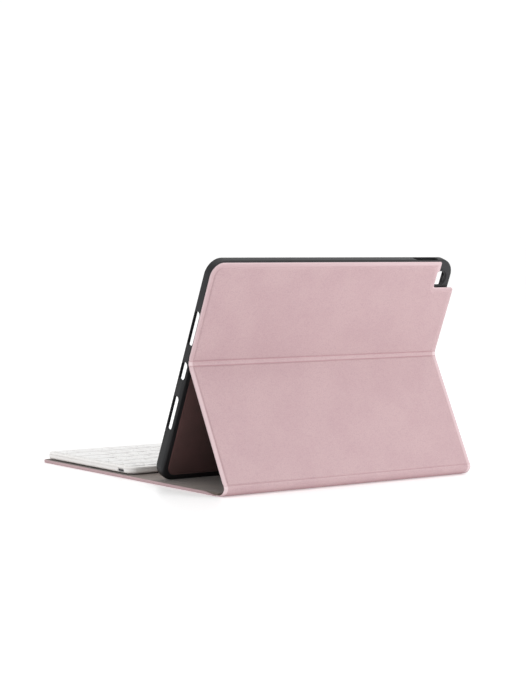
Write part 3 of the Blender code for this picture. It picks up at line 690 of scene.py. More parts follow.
def make_panels():
    base = panel("base_cover", base_ring, BASE_SECTION, ROSE, BASE)
    mark(base, lambda place: 0.6 * smooth_step((place.z - 1.9 * MM) / (0.3 * MM)))
    finish_piece(base, "base", "rose_faux_leather", "base_skin")

    kickstand = panel("kickstand_cover", kickstand_ring, PANEL_SECTION, ROSE, KICKSTAND)
    mark(kickstand, lambda place: 0.85 * side_border(place), in_frame(KICKSTAND, kickstand_score_shade))
    finish_piece(kickstand, "kickstand", "rose_faux_leather", "kickstand_skin")

    upper = panel("upper_cover", upper_ring, PANEL_SECTION, ROSE, TRAY)
    # The crease's scored line on the upper panel gets painted shade.
    mark(upper, in_frame(TRAY, upper_border),
         in_frame(TRAY, lambda place: score_line_shade(place.y - STRIP_REACH)))
    finish_piece(upper, "tray", "rose_faux_leather", "upper_panel_skin")


def make_linings():
    lining = panel("base_lining_cloth", base_ring, BASE_LINING_SECTION, MICROFIBRE, BASE)
    finish_piece(lining, "base", "grey_microfibre", "base_lining")

    lining = panel("kickstand_lining_cloth", kickstand_ring, LINING_SECTION, MICROFIBRE, KICKSTAND)
    finish_piece(lining, "kickstand", "grey_microfibre", "kickstand_lining")


# --- Folds and spine -------------------------------------------------------------------------

def spine_station(angle):
    """A point of the spine's arc at the skin's middle, and the direction of its inner side."""
    centre = SPINE_AXIS + Vector((0, 0, SPINE_RADIUS))
    inward = Vector((0, -math.sin(angle), math.cos(angle)))
    return centre - inward * SPINE_RADIUS, inward


def curve_stations(start, start_way, end, end_way, steps):
    """Stations along a smooth curve between two points with given directions, in the YZ plane."""
    stations = []
    span = (end - start).length
    for step in range(steps + 1):
        t = step / steps
        place = ((2 * t ** 3 - 3 * t ** 2 + 1) * start + (t ** 3 - 2 * t ** 2 + t) * span * start_way
                 + (3 * t ** 2 - 2 * t ** 3) * end + (t ** 3 - t ** 2) * span * end_way)
        slope = ((6 * t ** 2 - 6 * t) * start + (3 * t ** 2 - 4 * t + 1) * span * start_way
                 + (6 * t - 6 * t ** 2) * end + (3 * t ** 2 - 2 * t) * span * end_way).normalized()
        stations.append((place, Vector((0, -slope.z, slope.y))))
    return stations


def ribbon_section(outer_rows, inner_rows):
    """A closed section: the outer rows from +X to -X, then the inner rows back. A row is the inset from
    the side and the height, in mm."""
    outer = [(HALF_WIDTH - inset * MM, height * MM) for inset, height in outer_rows]
    inner = [(HALF_WIDTH - inset * MM, height * MM) for inset, height in inner_rows]
    return (outer + [(-x, z) for x, z in reversed(outer)] + [(-x, z) for x, z in inner]
            + list(reversed(inner)))


SIDE_EDGE = [(0.0, 0.3), (0.04, 0.12), (0.18, -0.02), (0.45, -0.1), (0.8, -0.12)]
SKIN_OUTER = SIDE_EDGE + [(3.2, -0.12), (3.7, -0.15), (4.2, -0.22), (4.6, -0.25), (6.0, -0.25),
                          (60.0, -0.25)]
SKIN_INNER = [(0.04, 0.48), (0.18, 0.6), (0.45, 0.68), (0.8, 0.7), (1.15, 0.66), (1.28, 0.28),
              (6.0, 0.25), (60.0, 0.25)]
STIFFENER_OUTER = [(4.7, 0.42), (60.0, 0.42)]
STIFFENER_INNER = [(4.7, 1.0), (60.0, 1.0)]
THIN_LINING_OUTER = [(1.42, 0.32), (6.0, 0.3), (60.0, 0.3)]
THIN_LINING_INNER = [(1.36, 0.42), (1.38, 0.6), (1.5, 0.68), (1.8, 0.7), (6.0, 0.7), (60.0, 0.7)]
THICK_LINING_OUTER = [(1.42, 0.32), (3.2, 0.34), (4.4, 1.1), (6.0, 1.12), (60.0, 1.12)]
THICK_LINING_INNER = [(1.36, 0.42), (1.38, 0.6), (1.5, 0.68), (1.8, 0.7), (3.0, 0.74), (4.3, 1.45),
                      (5.0, 1.55), (60.0, 1.55)]


def ribbon(name, stations, section, material, scored=(False, False)):
    """Sweep a section along stations. At a scored end the outer face is pressed in by SCORE_DEPTH."""
    rings = []
    for index, (place, inward) in enumerate(stations):
        pressed = SCORE_DEPTH * max(end_share(index, len(stations), end) * scored[end] for end in (0, 1))
        rings.append([place + Vector((x, 0, 0)) + inward * (z + (pressed if z < 0 else 0))
                      for x, z in section])
    return piece(name, loft(rings), material, None, SOFT_SHARP)


def end_share(index, count, end):
    """How far a station is in the score line at one end of a strip: 1 at the end, and 0 past 0.8 mm."""
    from_end = (index, count - 1 - index)[end] / (count - 1)
    return smooth_step(1 - from_end / 0.2)


def past(stations, end, way):
    """Take a strip a little way under the panel that it meets, so that no gap shows."""
    place, inward = stations[-end]
    tucked = (place + way * TUCK, inward)
    return stations + [tucked] if end else [tucked] + stations


def make_folds():
    side = ribbon_section(SKIN_OUTER, SKIN_INNER)
    thin = ribbon_section(THIN_LINING_OUTER, THIN_LINING_INNER)
    thick = ribbon_section(THICK_LINING_OUTER, THICK_LINING_INNER)
    reach_angle = STRIP_REACH / SPINE_RADIUS
    kick_way = KICKSTAND.to_3x3() @ Vector((0, 1, 0))
    tray_way = TRAY.to_3x3() @ Vector((0, 1, 0))

    steps = 10
    base_end = SPINE_AXIS - Vector((0, STRIP_REACH, 0))
    strip = [(base_end.lerp(SPINE_AXIS, step / steps), Vector((0, 0, 1))) for step in range(steps)]
    strip += [spine_station(reach_angle * step / steps) for step in range(steps + 1)]
    spine = [spine_station(lerp(reach_angle, SPINE_ARC - reach_angle, step / 20)) for step in range(21)]
    start, inward = spine_station(SPINE_ARC - reach_angle)
    start_way = Vector((0, inward.z, -inward.y))
    stand_end = STAND_AXIS + kick_way * STRIP_REACH
    stand_strip = past(curve_stations(start, start_way, stand_end, kick_way, 24), 1, kick_way)
    crease_start = CREASE_AXIS - kick_way * STRIP_REACH
    crease_end = CREASE_AXIS + tray_way * STRIP_REACH
    crease_strip = past(curve_stations(crease_start, kick_way, crease_end, tray_way, 30), 1, tray_way)
    crease_strip = past(crease_strip, 0, -kick_way)

    skin = ribbon("spine_cover", spine, side, ROSE)
    # Painted shadow: the spine's skin darkens towards its underside, where the table shades it.
    mark(skin, side_border, lambda place: 0.6 * (1 - smooth_step(place.z / (4.5 * MM))))
    finish_piece(skin, "spine", "rose_faux_leather", "spine_skin")
    lining = ribbon("spine_lining_cloth", spine, thick, MICROFIBRE)
    finish_piece(lining, "spine", "grey_microfibre", "spine_lining")
    stiffener = ribbon("spine_stiffener_board", spine,
                       ribbon_section(STIFFENER_OUTER, STIFFENER_INNER), FIBRE_BOARD)
    finish_piece(stiffener, "spine", "greyboard", "spine_stiffener")

    # The last number of each fold is the strength of the painted shade in the scored lines at its scored ends.
    folds = (("spine_fold", strip, ("base", "spine"), base_end, spine[0][0], (False, False), 0.0),
             ("stand_fold", stand_strip, ("spine", "kickstand"), start, stand_end, (False, True), 0.2),
             ("crease_fold", crease_strip, ("kickstand", "tray"), crease_start, crease_end, (True, True),
              0.45))
    for name, stations, bodies, first, last, scored, depth in folds:
        skin = ribbon(name + "_skin", stations, side, ROSE, scored)
        ends = [end for end, shown in zip((first, last), scored) if shown]
        mark(skin, side_border, lambda place: max(
            [score_line_shade(math.hypot(place.y - end.y, place.z - end.z), depth) for end in ends] + [0]))
        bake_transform(skin)
        lining = ribbon(name + "_lining_cloth", stations, thin, MICROFIBRE)
        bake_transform(lining)


# --- Tray ------------------------------------------------------------------------------------

def tray_ring(inset, height):
    return ring(round_rectangle(TRAY_WIDTH / 2 - inset, TRAY_BOTTOM + inset, TRAY_TOP - inset,
                                TRAY_CORNER - inset), height)


def arc_rows(centre, radius, start, end, steps):
    """Section rows along an arc, as (inset, height), with angles in degrees."""
    rows = []
    for step in range(steps + 1):
        angle = math.radians(lerp(start, end, step / steps))
        rows.append((centre[0] + radius * math.cos(angle), centre[1] + radius * math.sin(angle)))
    return rows


def tray_rows():
    """The tray's section, from the inner floor over the lip and round the back, in metres."""
    lip = TRAY_HIGH - TRAY_LIP
    rows = [(SECTION_END, TRAY_FLOOR), (4 * MM, TRAY_FLOOR)]
    rows += arc_rows((TRAY_WALL + 1.0 * MM, TRAY_FLOOR + 1.0 * MM), 1.0 * MM, 270, 180, 5)
    rows += arc_rows((TRAY_WALL + 0.4 * MM, lip - 0.4 * MM), 0.4 * MM, 180, 90, 3)
    rows += arc_rows((3.2 * MM - 0.5 * MM, lip + 0.5 * MM), 0.5 * MM, -90, 90, 8)
    rows += [(2.0 * MM, TRAY_HIGH)]
    rows += arc_rows((1.3 * MM, TRAY_HIGH - 1.3 * MM), 1.3 * MM, 90, 180, 7)
    rows += arc_rows((2.6 * MM, TRAY_LOW + 2.6 * MM), 2.6 * MM, 180, 270, 10)
    rows += [(4.0 * MM, TRAY_LOW), (SECTION_END, TRAY_LOW)]
    return rows


def slot_cutter(length, width, surface, inner, outer, flare=SLOT_FLARE):
    """A pill-shaped cutter along local Z, whose mouth flares in a quarter round at the surface."""
    depths = [(inner, 0.0)] + [(surface - flare * (1 - math.sin(math.radians(a))),
                                flare * (1 - math.cos(math.radians(a)))) for a in (0, 18, 36, 54, 72, 90)]
    depths.append((outer, flare * 1.05))
    rings = []
    for depth, grow in depths:
        half_length = length / 2 + grow
        half_width = width / 2 + grow
        rings.append(ring(round_rectangle(half_length, -half_width, half_width, half_width * 0.98, 8),
                          depth))
    return loft(rings)


def make_tray():
    shell = piece("tray_body", loft([tray_ring(*row) for row in tray_rows()]), TPU, None, 30)
    half = TRAY_WIDTH / 2
    slots = [(PORT_SLOT, 1, TRAY_MIDDLE)]
    for side in (1, -1):
        slots += [(SPEAKER_SLOT, side, TRAY_MIDDLE + SPEAKER_OFFSET),
                  (SPEAKER_SLOT, side, TRAY_MIDDLE - SPEAKER_OFFSET)]
    slots += [(POWER_SLOT, -1, POWER_HEIGHT), (AUDIO_SLOT, -1, AUDIO_HEIGHT)]
    cutters = [moved(slot_cutter(*size, half, half - SLOT_INWARD, half + SLOT_OUTWARD),
                     facing_x(0, height, SLOT_HEIGHT, side)) for size, side, height in slots]
    cutters.append(moved(slot_cutter(*VOLUME_SLOT, TRAY_TOP, TRAY_TOP - SLOT_INWARD,
                                     TRAY_TOP + SLOT_OUTWARD), facing_y(VOLUME_X, 0, SLOT_HEIGHT)))
    turn = Matrix(((1, 0, 0, CAMERA_X), (0, 1, 0, CAMERA_HEIGHT), (0, 0, -1, 0), (0, 0, 0, 1)))
    cutters.append(moved(slot_cutter(*CAMERA_OPENING, -TRAY_LOW, -TRAY_FLOOR - 2 * MM, -TRAY_LOW + 1 * MM,
                                     0.5 * MM), turn))
    cut(shell, joined(cutters))
    mesh = shell.data
    mesh.materials.clear()
    mesh.materials.append(TPU)
    mesh.materials.append(TPU_INSIDE)
    for face in mesh.polygons:
        inside = abs(face.center.z - TRAY_FLOOR) < 0.02 * MM and abs(face.normal.z) > 0.99
        face.material_index = 1 if inside else 0
    mesh.transform(TRAY)
    shade(mesh, 30)
    finish_piece(shell, "tray", "black_tpu", "tray_shell")

    rim_rows = [(0.0, -0.2), (0.0, 0.25), (0.15, 0.45), (0.5, 0.55), (0.9, 0.45), (1.05, 0.2), (1.1, -0.2)]
    rings = []
    for grow, rise in rim_rows:
        grow *= MM
        points = round_rectangle(6.85 * MM + grow, -6.35 * MM - grow, 6.35 * MM + grow, 6.2 * MM + grow, 12)
        rings.append(ring([(x + CAMERA_X, y + CAMERA_HEIGHT) for x, y in points], TRAY_LOW - rise * MM))
    rim = piece("tray_camera_rim", loft(rings, closed=True), TPU, TRAY, 40)
    finish_piece(rim, "tray", "black_tpu")


def make_tray_liner():
    """A thin brown suede film on the tray's lower back."""
    rows = [(2.0, 2.80), (0.3, 2.80), (0.1, 2.76), (0.0, 2.66), (0.08, 2.5), (0.3, 2.45), (2.0, 2.45),
            (4.0, 2.45)]
    half = TRAY_WIDTH / 2 - LINER_INSET
    low = TRAY_BOTTOM + LINER_INSET
    rings = []
    for inset, height in rows:
        inset *= MM
        corners = [(-half + inset, low + inset, LINER_CORNER - inset),
                   (half - inset, low + inset, LINER_CORNER - inset),
                   (half - inset, LINER_TOP - inset, None), (-half + inset, LINER_TOP - inset, None)]
        rings.append(ring(outline(corners), height * MM))
    suede = mottled_material("brown_suede_film", "5c3937", "4e302d", 0.8, 0.3 * MM, 0.05 * MM, 18 * MM,
                             Sheen_Weight=0.25)
    liner = piece("tray_back_suede", loft(rings), suede, TRAY, SOFT_SHARP)
    finish_piece(liner, "tray", "brown_liner", "tray_back_liner")


# --- Keyboard --------------------------------------------------------------------------------

def white_shell():
    """Injection-moulded ABS, white, with the fine texture of a spark-eroded mould."""
    return mottled_material("white_abs", "f5f3f1", "f0eeeb", 0.36, 0.22 * MM, 0.012 * MM, 20 * MM, 0.05)


def white_keys():
    """Moulded ABS key caps with a matt coat, very slightly brighter than the case."""
    return mottled_material("white_keycap", "fbfaf9", "f6f5f4", 0.44, 0.2 * MM, 0.012 * MM, 12 * MM, 0.05)


def legend_ink():
    """Grey pad-printed ink."""
    return mottled_material("legend_ink", "9a9998", "8f8e8d", 0.55, 0.15 * MM, 0.004 * MM, 3 * MM, 0.05)


def keyboard_ring(inset, height):
    half_x = KEYBOARD_X / 2 - inset
    half_y = KEYBOARD_Y / 2 - inset
    return ring(round_rectangle(half_x, -half_y, half_y, KEYBOARD_CORNER - inset, 18), height)


def key_boxes():
    """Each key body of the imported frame, with its node and that node's low and high corners."""
    for name, members in frame["record"]["behaviour"]["bodies"].items():
        if not (name.startswith("key_") or name.endswith("_keys")):
            continue
        yield name, members[0], *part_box(members[0])


def key_cap(half_x, half_y):
    """A scissor key's cap about its centre: upright sides, a soft rim and a shallow dish."""
    bottom, top, rim = KEY_BOTTOM, KEY_TOP, 0.4 * MM
    rows = [(0.6, bottom), (0.0, bottom), (0.0, lerp(bottom, top, 0.45)), (0.08, lerp(bottom, top, 0.72))]
    rows = [(inset * MM, height) for inset, height in rows]
    rows += [(0.12 * MM + rim * (1 - math.cos(angle)), top - rim + rim * math.sin(angle))
             for angle in map(math.radians, (0, 22, 45, 67, 90))]
    shallow = min(half_x, half_y)
    for share in (0.16, 0.3, 0.5, 0.7, 0.9):
        rows.append((lerp(0.52 * MM, shallow, share), top - KEY_DISH * smooth_step(share * 1.15)))
    rings = []
    for inset, height in rows:
        radius = min(max(0.15 * MM, KEY_RADIUS - inset), half_y - inset - 0.02 * MM)
        points = round_rectangle(half_x - inset, -half_y + inset, half_y - inset, radius, 5)
        rings.append(ring(points, height))
    return loft(rings)


def row_tree():
    """Geometry nodes: copies of one cap along X, at a pitch, as real geometry with one material."""
    tree = bpy.data.node_groups.new("key_row", "GeometryNodeTree")
    face = tree.interface
    for name, kind in (("Cap", "NodeSocketObject"), ("Count", "NodeSocketInt"),
                       ("First", "NodeSocketVector"), ("Pitch", "NodeSocketVector"),
                       ("Finish", "NodeSocketMaterial")):
        face.new_socket(name, in_out="INPUT", socket_type=kind)
    face.new_socket("Geometry", in_out="OUTPUT", socket_type="NodeSocketGeometry")
    given = node(tree, "NodeGroupInput").outputs
    line = node(tree, "GeometryNodeMeshLine", {"Count": given["Count"], "Start Location": given["First"],
                                               "Offset": given["Pitch"]}, mode="OFFSET")
    cap = node(tree, "GeometryNodeObjectInfo", {"Object": given["Cap"]})
    spread = node(tree, "GeometryNodeInstanceOnPoints", {"Points": line.outputs["Mesh"],
                                                         "Instance": cap.outputs["Geometry"]})
    real = node(tree, "GeometryNodeRealizeInstances", {"Geometry": spread.outputs["Instances"]})
    coated = node(tree, "GeometryNodeSetMaterial", {"Geometry": real.outputs["Geometry"],
                                                    "Material": given["Finish"]})
    node(tree, "NodeGroupOutput", {"Geometry": coated.outputs["Geometry"]})
    return tree


def spread_row(tree, name, shape, count, first, pitch, material, sharp=KEY_SHARP):
    """Run the row tree on one shape, and return its copies as a plain mesh."""
    cap = piece(name + "_one", shape, material, None, sharp)
    holder = placed(name, bpy.data.meshes.new(name))
    modifier = holder.modifiers.new("row", "NODES")
    modifier.node_group = tree
    sockets = {item.name: item.identifier for item in tree.interface.items_tree
               if item.item_type == "SOCKET"}
    inputs = {"Cap": cap, "Count": count, "First": first, "Pitch": pitch, "Finish": material}
    for key, value in inputs.items():
        modifier[sockets[key]] = value
    evaluated = holder.evaluated_get(bpy.context.evaluated_depsgraph_get())
    mesh = bpy.data.meshes.new_from_object(evaluated)
    bpy.data.objects.remove(holder)
    bpy.data.objects.remove(cap)
    return mesh


def bar(half_x, half_y, low, high, radius, place=(0, 0)):
    """A small rounded plate."""
    rings = []
    for inset, height in ((0.0, low), (0.0, lerp(low, high, 0.7)), (0.25 * min(half_x, half_y), high)):
        points = round_rectangle(half_x - inset, -half_y + inset, half_y - inset,
                                 max(0.02 * MM, radius - inset), 3)
        rings.append(ring([(x + place[0], y + place[1]) for x, y in points], height))
    return loft(rings)


def arrow(turn, place, low, high):
    """A small triangle that points along +X before its turn, in degrees."""
    spokes = [math.radians(angle + turn) for angle in (0, 125, 235)]
    points = [(place[0] + 0.9 * MM * math.cos(spoke), place[1] + 0.9 * MM * math.sin(spoke))
              for spoke in spokes]
    return loft([ring(points, low), ring(points, high)])


def legend_shape(name):
    """A plain generic mark for a key: a bar on wide keys, a dot on letters, a triangle on arrows."""
    low = KEY_TOP - KEY_DISH - 0.1 * MM
    high = KEY_TOP - KEY_DISH + 0.012 * MM
    if "space" in name:
        return None
    if name == "key_arrow_left":
        return arrow(180, (0, 0), low, high)
    if name == "key_arrow_right":
        return arrow(0, (0, 0), low, high)
    if name == "key_arrow_up_down":
        return joined([arrow(90, (0, 3.4 * MM), low, high), arrow(-90, (0, -3.4 * MM), low, high)])
    if name.endswith("_keys") and name != "function_keys":
        return bar(0.75 * MM, 0.75 * MM, low, high, 0.74 * MM)
    return bar(1.5 * MM, 0.28 * MM, low, high, 0.27 * MM)


def add_keys(cap_material, ink, keyboard_y):
    """One piece for each key body. A row's caps are spread by the row tree. Each cap's centre, about the
    keyboard's, and half size are returned for the wells."""
    tree = row_tree()
    pitch = Vector((KEY_PITCH, 0, 0))
    wells = []
    for body, node_name, low, high in key_boxes():
        y_centre = (low.y + high.y) / 2
        half_y = (high.y - low.y) / 2
        half_x = (high.x - low.x) / 2
        count = 1
        if body.endswith("_keys"):
            half_x = KEY_HALF
            count = round((high.x - low.x - 2 * half_x) / KEY_PITCH) + 1
        first = Vector((low.x + half_x, y_centre, 0))
        whole = bmesh.new()
        whole.from_mesh(spread_row(tree, node_name + "_row", key_cap(half_x, half_y), count, first, pitch,
                                   cap_material))
        caps_end = len(whole.faces)
        legend = legend_shape(node_name)
        if legend is not None:
            whole.from_mesh(spread_row(tree, node_name + "_legends", legend, count, first, pitch, ink))
        legends_end = len(whole.faces)
        if count > 1:
            reach = (count - 1) * KEY_PITCH / 2
            whole = joined([whole, bar(reach, 1.5 * MM, WEB_LOW, WEB_HIGH, 0.3 * MM,
                                       (low.x + half_x + reach, y_centre))])
        whole.faces.ensure_lookup_table()
        for index in range(caps_end, legends_end):
            whole.faces[index].material_index = 1
        bmesh.ops.recalc_face_normals(whole, faces=whole.faces)
        mesh = bpy.data.meshes.new(node_name.removesuffix("_keys") + "_caps")
        whole.to_mesh(mesh)
        whole.free()
        mesh.materials.append(cap_material)
        mesh.materials.append(ink)
        shade(mesh, KEY_SHARP)
        finish_piece(placed(node_name + "_caps", mesh), body, "white_keycap", node_name)
        wells += [(first.x + index * KEY_PITCH, y_centre - keyboard_y, half_x, half_y)
                  for index in range(count)]
    return wells


def case_shell(name, rows, cutters, material, keyboard_y, node_name):
    """One half of the keyboard's case: its section lofted round the outline, with its openings cut."""
    shell = piece(name, loft([keyboard_ring(*row) for row in rows]), material, None, CASE_SHARP)
    cut(shell, joined(cutters))
    shell.data.transform(Matrix.Translation((0, keyboard_y, 0)))
    shade(shell.data, CASE_SHARP)
    finish_piece(shell, "keyboard", "white_abs", node_name)


def make_keyboard():
    shell_material = white_shell()
    low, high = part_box("keyboard_top_case")
    keyboard_y = (low.y + high.y) / 2
    wells = add_keys(white_keys(), legend_ink(), keyboard_y)

    split, top = CASE_SPLIT_HIGH, CASE_TOP
    rows = [(SECTION_END, CASE_ROOF), (2.5 * MM, CASE_ROOF)]
    rows += arc_rows((CASE_WALL + 0.3 * MM, CASE_ROOF - 0.3 * MM), 0.3 * MM, 90, 180, 3)
    rows += [(CASE_WALL, split + 0.1 * MM), (CASE_WALL - 0.1 * MM, split), (0.12 * MM, split),
             (0.0, split + 0.12 * MM)]
    rows += arc_rows((0.9 * MM, top - 0.9 * MM), 0.9 * MM, 180, 90, 8)
    rows += [(1.6 * MM, top), (SECTION_END, top)]
    cutters = []
    for x, y, half_x, half_y in wells:
        rings = []
        for grow, height in ((0.4, 7.2), (0.4, 8.3), (0.46, 8.48), (0.62, 8.6), (0.75, 8.7)):
            grow *= MM
            points = round_rectangle(half_x + grow, -half_y - grow, half_y + grow, KEY_RADIUS + grow, 5)
            rings.append(ring([(px + x, py + y) for px, py in points], height * MM))
        cutters.append(loft(rings))
    light, _ = centre_and_half("status_light")
    cutters.append(bar(3.1 * MM, 0.6 * MM, 7.2 * MM, 9.4 * MM, 0.5 * MM, (light.x, light.y - keyboard_y)))
    case_shell("keyboard_top", rows, cutters, shell_material, keyboard_y, "keyboard_top_case")

    low, split = CASE_BOTTOM, CASE_SPLIT_LOW
    rows = [(SECTION_END, low), (3.0 * MM, low)]
    rows += arc_rows((1.6 * MM, low + 1.6 * MM), 1.6 * MM, 270, 180, 9)
    rows += [(0.0, split - 0.12 * MM), (0.12 * MM, split), (CASE_WALL - 0.1 * MM, split),
             (CASE_WALL, split - 0.1 * MM)]
    rows += arc_rows((CASE_WALL + 0.4 * MM, CASE_FLOOR + 0.4 * MM), 0.4 * MM, 180, 270, 3)
    rows += [(3.0 * MM, CASE_FLOOR), (SECTION_END, CASE_FLOOR)]
    socket, _ = centre_and_half("charging_socket")
    switch, _ = centre_and_half("power_switch")
    side, rear = KEYBOARD_X / 2, KEYBOARD_Y / 2
    port = moved(slot_cutter(*SOCKET_MOUTH, side, side - 2 * MM, side + 1 * MM, 0.25 * MM),
                 facing_x(0, socket.y - keyboard_y, socket.z))
    slot = moved(slot_cutter(*SWITCH_SLOT, rear, rear - 2.4 * MM, rear + 1 * MM, 0.2 * MM),
                 facing_y(switch.x + SWITCH_TRAVEL / 2, 0, switch.z))
    case_shell("keyboard_bottom", rows, [port, slot], shell_material, keyboard_y, "keyboard_bottom_case")
    make_keyboard_trim()


def make_keyboard_trim():
    """The feet, the charging socket, the switch and the light."""
    rubber = mottled_material("grey_rubber", "4c4c4e", "434345", 0.82, 0.3 * MM, 0.03 * MM, 4 * MM)
    steel = brushed_steel("steel_plate", "c9c9cb", "b4b4b7", 0.3)
    contact = brushed_steel("gold_contact", "e6c27a", "d9b56c", 0.25)
    grey = mottled_material("grey_abs", "8d8c8b", "838281", 0.42, 0.2 * MM, 0.015 * MM, 4 * MM)
    lens = mottled_material("diffuser_acrylic", "dfe6ea", "d4dce1", 0.22, 0.3 * MM, 0.004 * MM, 3 * MM,
                            0.05, Transmission_Weight=0.35, Coat_Weight=0.4)
    black = mottled_material("black_nylon", "1d1d1f", "18181a", 0.5, 0.2 * MM, 0.01 * MM, 3 * MM)

    for name in ("front_left", "front_right", "rear_left", "rear_right"):
        low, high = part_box("keyboard_foot_" + name)
        centre = (low + high) / 2
        radius = (high.x - low.x) / 2
        rows = [(0.96, high.z), (1.0, high.z - 0.08 * MM), (1.0, low.z + 0.25 * MM),
                (0.97, low.z + 0.1 * MM), (0.88, low.z + 0.02 * MM), (0.7, low.z),
                (0.62, low.z + 0.05 * MM), (0.3, low.z + 0.08 * MM)]
        spokes = [math.tau * step / 40 for step in range(40)]
        rings = [[Vector((centre.x + radius * share * math.cos(spoke),
                          centre.y + radius * share * math.sin(spoke), height)) for spoke in spokes]
                 for share, height in rows]
        foot = piece("foot_" + name, loft(rings), rubber, None, 50)
        finish_piece(foot, "keyboard", "grey_rubber", "keyboard_foot_" + name)

    centre, _ = centre_and_half("charging_socket")
    turn = facing_x(*centre)
    rings = []
    for inset, depth in ((0.0, 0.9), (0.0, 5.9), (0.12, 6.0), (0.3, 6.0), (0.42, 5.9), (0.42, 1.2)):
        inset *= MM
        rings.append(ring(round_rectangle(3.55 * MM - inset, -1.0 * MM + inset, 1.0 * MM - inset,
                                          0.98 * MM - inset, 8), (depth - 3.0) * MM))
    socket = piece("charging_socket_shell", loft(rings), steel, turn, 40)
    finish_piece(socket, "keyboard", "steel", "charging_socket")
    tongue = bar(2.4 * MM, 0.3 * MM, -1.9 * MM, 2.2 * MM, 0.2 * MM)
    finish_piece(piece("charging_socket_tongue", tongue, black, turn, 40), "keyboard", "steel")
    strip = bar(0.14 * MM, 0.03 * MM, -1.0 * MM, 1.9 * MM, 0.02 * MM)
    mesh = spread_row(bpy.data.node_groups["key_row"], "contacts", strip, 5,
                      Vector((-1.6 * MM, 0.32 * MM, 0)), Vector((0.8 * MM, 0, 0)), contact, 40)
    mesh.transform(turn)
    finish_piece(placed("charging_socket_contacts", mesh), "keyboard", "steel")

    centre, half = centre_and_half("power_switch")
    shapes = [bar(half.x, half.z, -half.y, half.y - 0.25 * MM, 0.3 * MM)]
    for x in (-0.9 * MM, 0.0, 0.9 * MM):
        shapes.append(bar(0.16 * MM, half.z * 0.8, half.y - 0.4 * MM, half.y, 0.1 * MM, (x, 0)))
    switch = piece("power_switch_knob", joined(shapes), grey, facing_y(*centre), 40)
    finish_piece(switch, "power_switch", "grey_switch", "power_switch")

    centre, half = centre_and_half("status_light")
    shape = bar(half.x, half.y, centre.z - half.z, centre.z + half.z + 0.03 * MM, half.y * 0.95,
                (centre.x, centre.y))
    light = piece("status_light_bar", shape, lens, None, 40)
    finish_piece(light, "keyboard", "clear_plastic", "status_light")


def finish_inner_parts():
    """Give the pieces that stay inside the cover and the keyboard their own finishes."""
    foam = mottled_material("acrylic_foam", "c9c0ab", "bdb39e", 0.9, 0.4 * MM, 0.08 * MM, 6 * MM)
    nickel = brushed_steel("nickel_plate", "cfcac2", "bfbab2", 0.24)
    steel = brushed_steel("spring_steel", "bfc0c2", "a9aaad", 0.32)
    film = mottled_material("polyester_film", "dfe6ea", "d2dbe1", 0.2, 0.5 * MM, 0.01 * MM, 8 * MM,
                            Transmission_Weight=0.5)
    foil = mottled_material("aluminised_foil", "c3c5c9", "b3b5ba", 0.34, 0.8 * MM, 0.05 * MM, 10 * MM,
                            Metallic=0.85)
    finishes = {"base_board": FIBRE_BOARD, "kickstand_board": FIBRE_BOARD, "upper_panel_board": FIBRE_BOARD,
                "adhesive_pad": foam, "keyboard_magnet": nickel, "steel_strip": steel,
                "key_support_plate": steel, "dome_membrane": film, "circuit_board": circuit_laminate(),
                "battery": foil}
    for name, thing in frame["nodes"].items():
        for start, material in finishes.items():
            if name.startswith(start):
                thing.data.materials.clear()
                thing.data.materials.append(material)


# --- Stage, light and camera -----------------------------------------------------------------

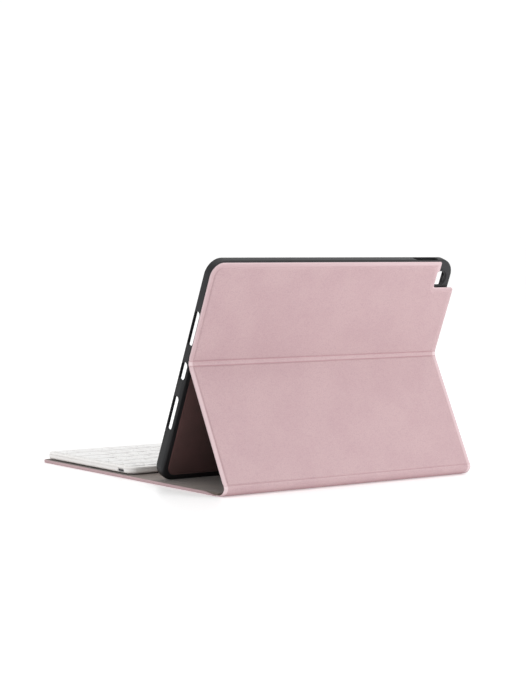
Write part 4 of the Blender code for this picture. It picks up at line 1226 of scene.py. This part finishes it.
def make_stage():
    """A gloss white table, lit a little from within so that it stays white into the distance."""
    material = bpy.data.materials.new("gloss_white_acrylic")
    material.use_nodes = True
    tree = material.node_tree
    tree.nodes.clear()
    matt = node(tree, "ShaderNodeBsdfDiffuse", {"Color": (0.92, 0.92, 0.92, 1.0)})
    gloss = node(tree, "ShaderNodeBsdfGlossy", {"Color": (1, 1, 1, 1), "Roughness": 0.32})
    both = node(tree, "ShaderNodeMixShader", {0: 0.3, 1: matt.outputs[0], 2: gloss.outputs[0]})
    glow = node(tree, "ShaderNodeEmission", {"Color": (1, 1, 1, 1), "Strength": 0.26})
    lit = node(tree, "ShaderNodeAddShader", {0: both.outputs[0], 1: glow.outputs[0]})
    node(tree, "ShaderNodeOutputMaterial", {"Surface": lit.outputs[0]})
    shape = bmesh.new()
    bmesh.ops.create_grid(shape, x_segments=1, y_segments=1, size=6.0)
    floor = piece("floor", shape, material)
    floor.data.transform(Matrix.Translation((0, 0, CAD_BOX[0].z)))


def make_lights():
    """A white studio, brighter at the horizon than overhead, with one lamp above and one soft box."""
    world = bpy.data.worlds.new("studio")
    world.use_nodes = True
    tree = world.node_tree
    direction = node(tree, "ShaderNodeTexCoord").outputs["Generated"]
    height = node(tree, "ShaderNodeSeparateXYZ", {"Vector": direction}).outputs["Z"]
    background = tree.nodes["Background"]
    background.inputs["Color"].default_value = (1.0, 1.0, 1.0, 1.0)
    tree.links.new(ramp(tree, height, 0.1, 0.35, 1.02, 0.78), background.inputs["Strength"])
    bpy.context.scene.world = world
    lit_place = Vector((0, 0.03, 0.08))
    lamps = (("overhead", (0.0, 0.2, 1.6), 1.8, 8.0), ("soft_box", (-0.55, 0.9, 0.42), 0.6, 3.6))
    for name, place, size, power in lamps:
        lamp = bpy.data.lights.new(name, "AREA")
        lamp.size = size
        lamp.energy = power
        thing = placed(name, lamp)
        thing.visible_camera = False
        thing.location = place
        thing.rotation_euler = (lit_place - Vector(place)).to_track_quat("-Z", "Y").to_euler()


def make_camera():
    """A long lens, from behind the stand's right-hand side, a little above the table."""
    azimuth, elevation, roll = math.radians(138.17), math.radians(4.5), math.radians(1.78)
    target = Vector((-0.0080, -0.0014, 0.0949))
    distance = 1.7794
    back = Vector((math.sin(azimuth) * math.cos(elevation), -math.cos(azimuth) * math.cos(elevation),
                   math.sin(elevation)))
    lens = bpy.data.cameras.new("camera")
    lens.lens = 114.16
    lens.clip_end = 50.0
    camera = placed("camera", lens)
    camera.location = target + back * distance
    turn = (-back).to_track_quat("-Z", "Y").to_matrix() @ Matrix.Rotation(roll, 3, "Z")
    camera.rotation_euler = turn.to_euler()
    bpy.context.scene.camera = camera
    bpy.context.scene.view_settings.view_transform = "Standard"


make_camera()
make_panels()
make_linings()
make_folds()
make_tray()
make_tray_liner()
make_keyboard()
finish_inner_parts()
make_stage()
make_lights()
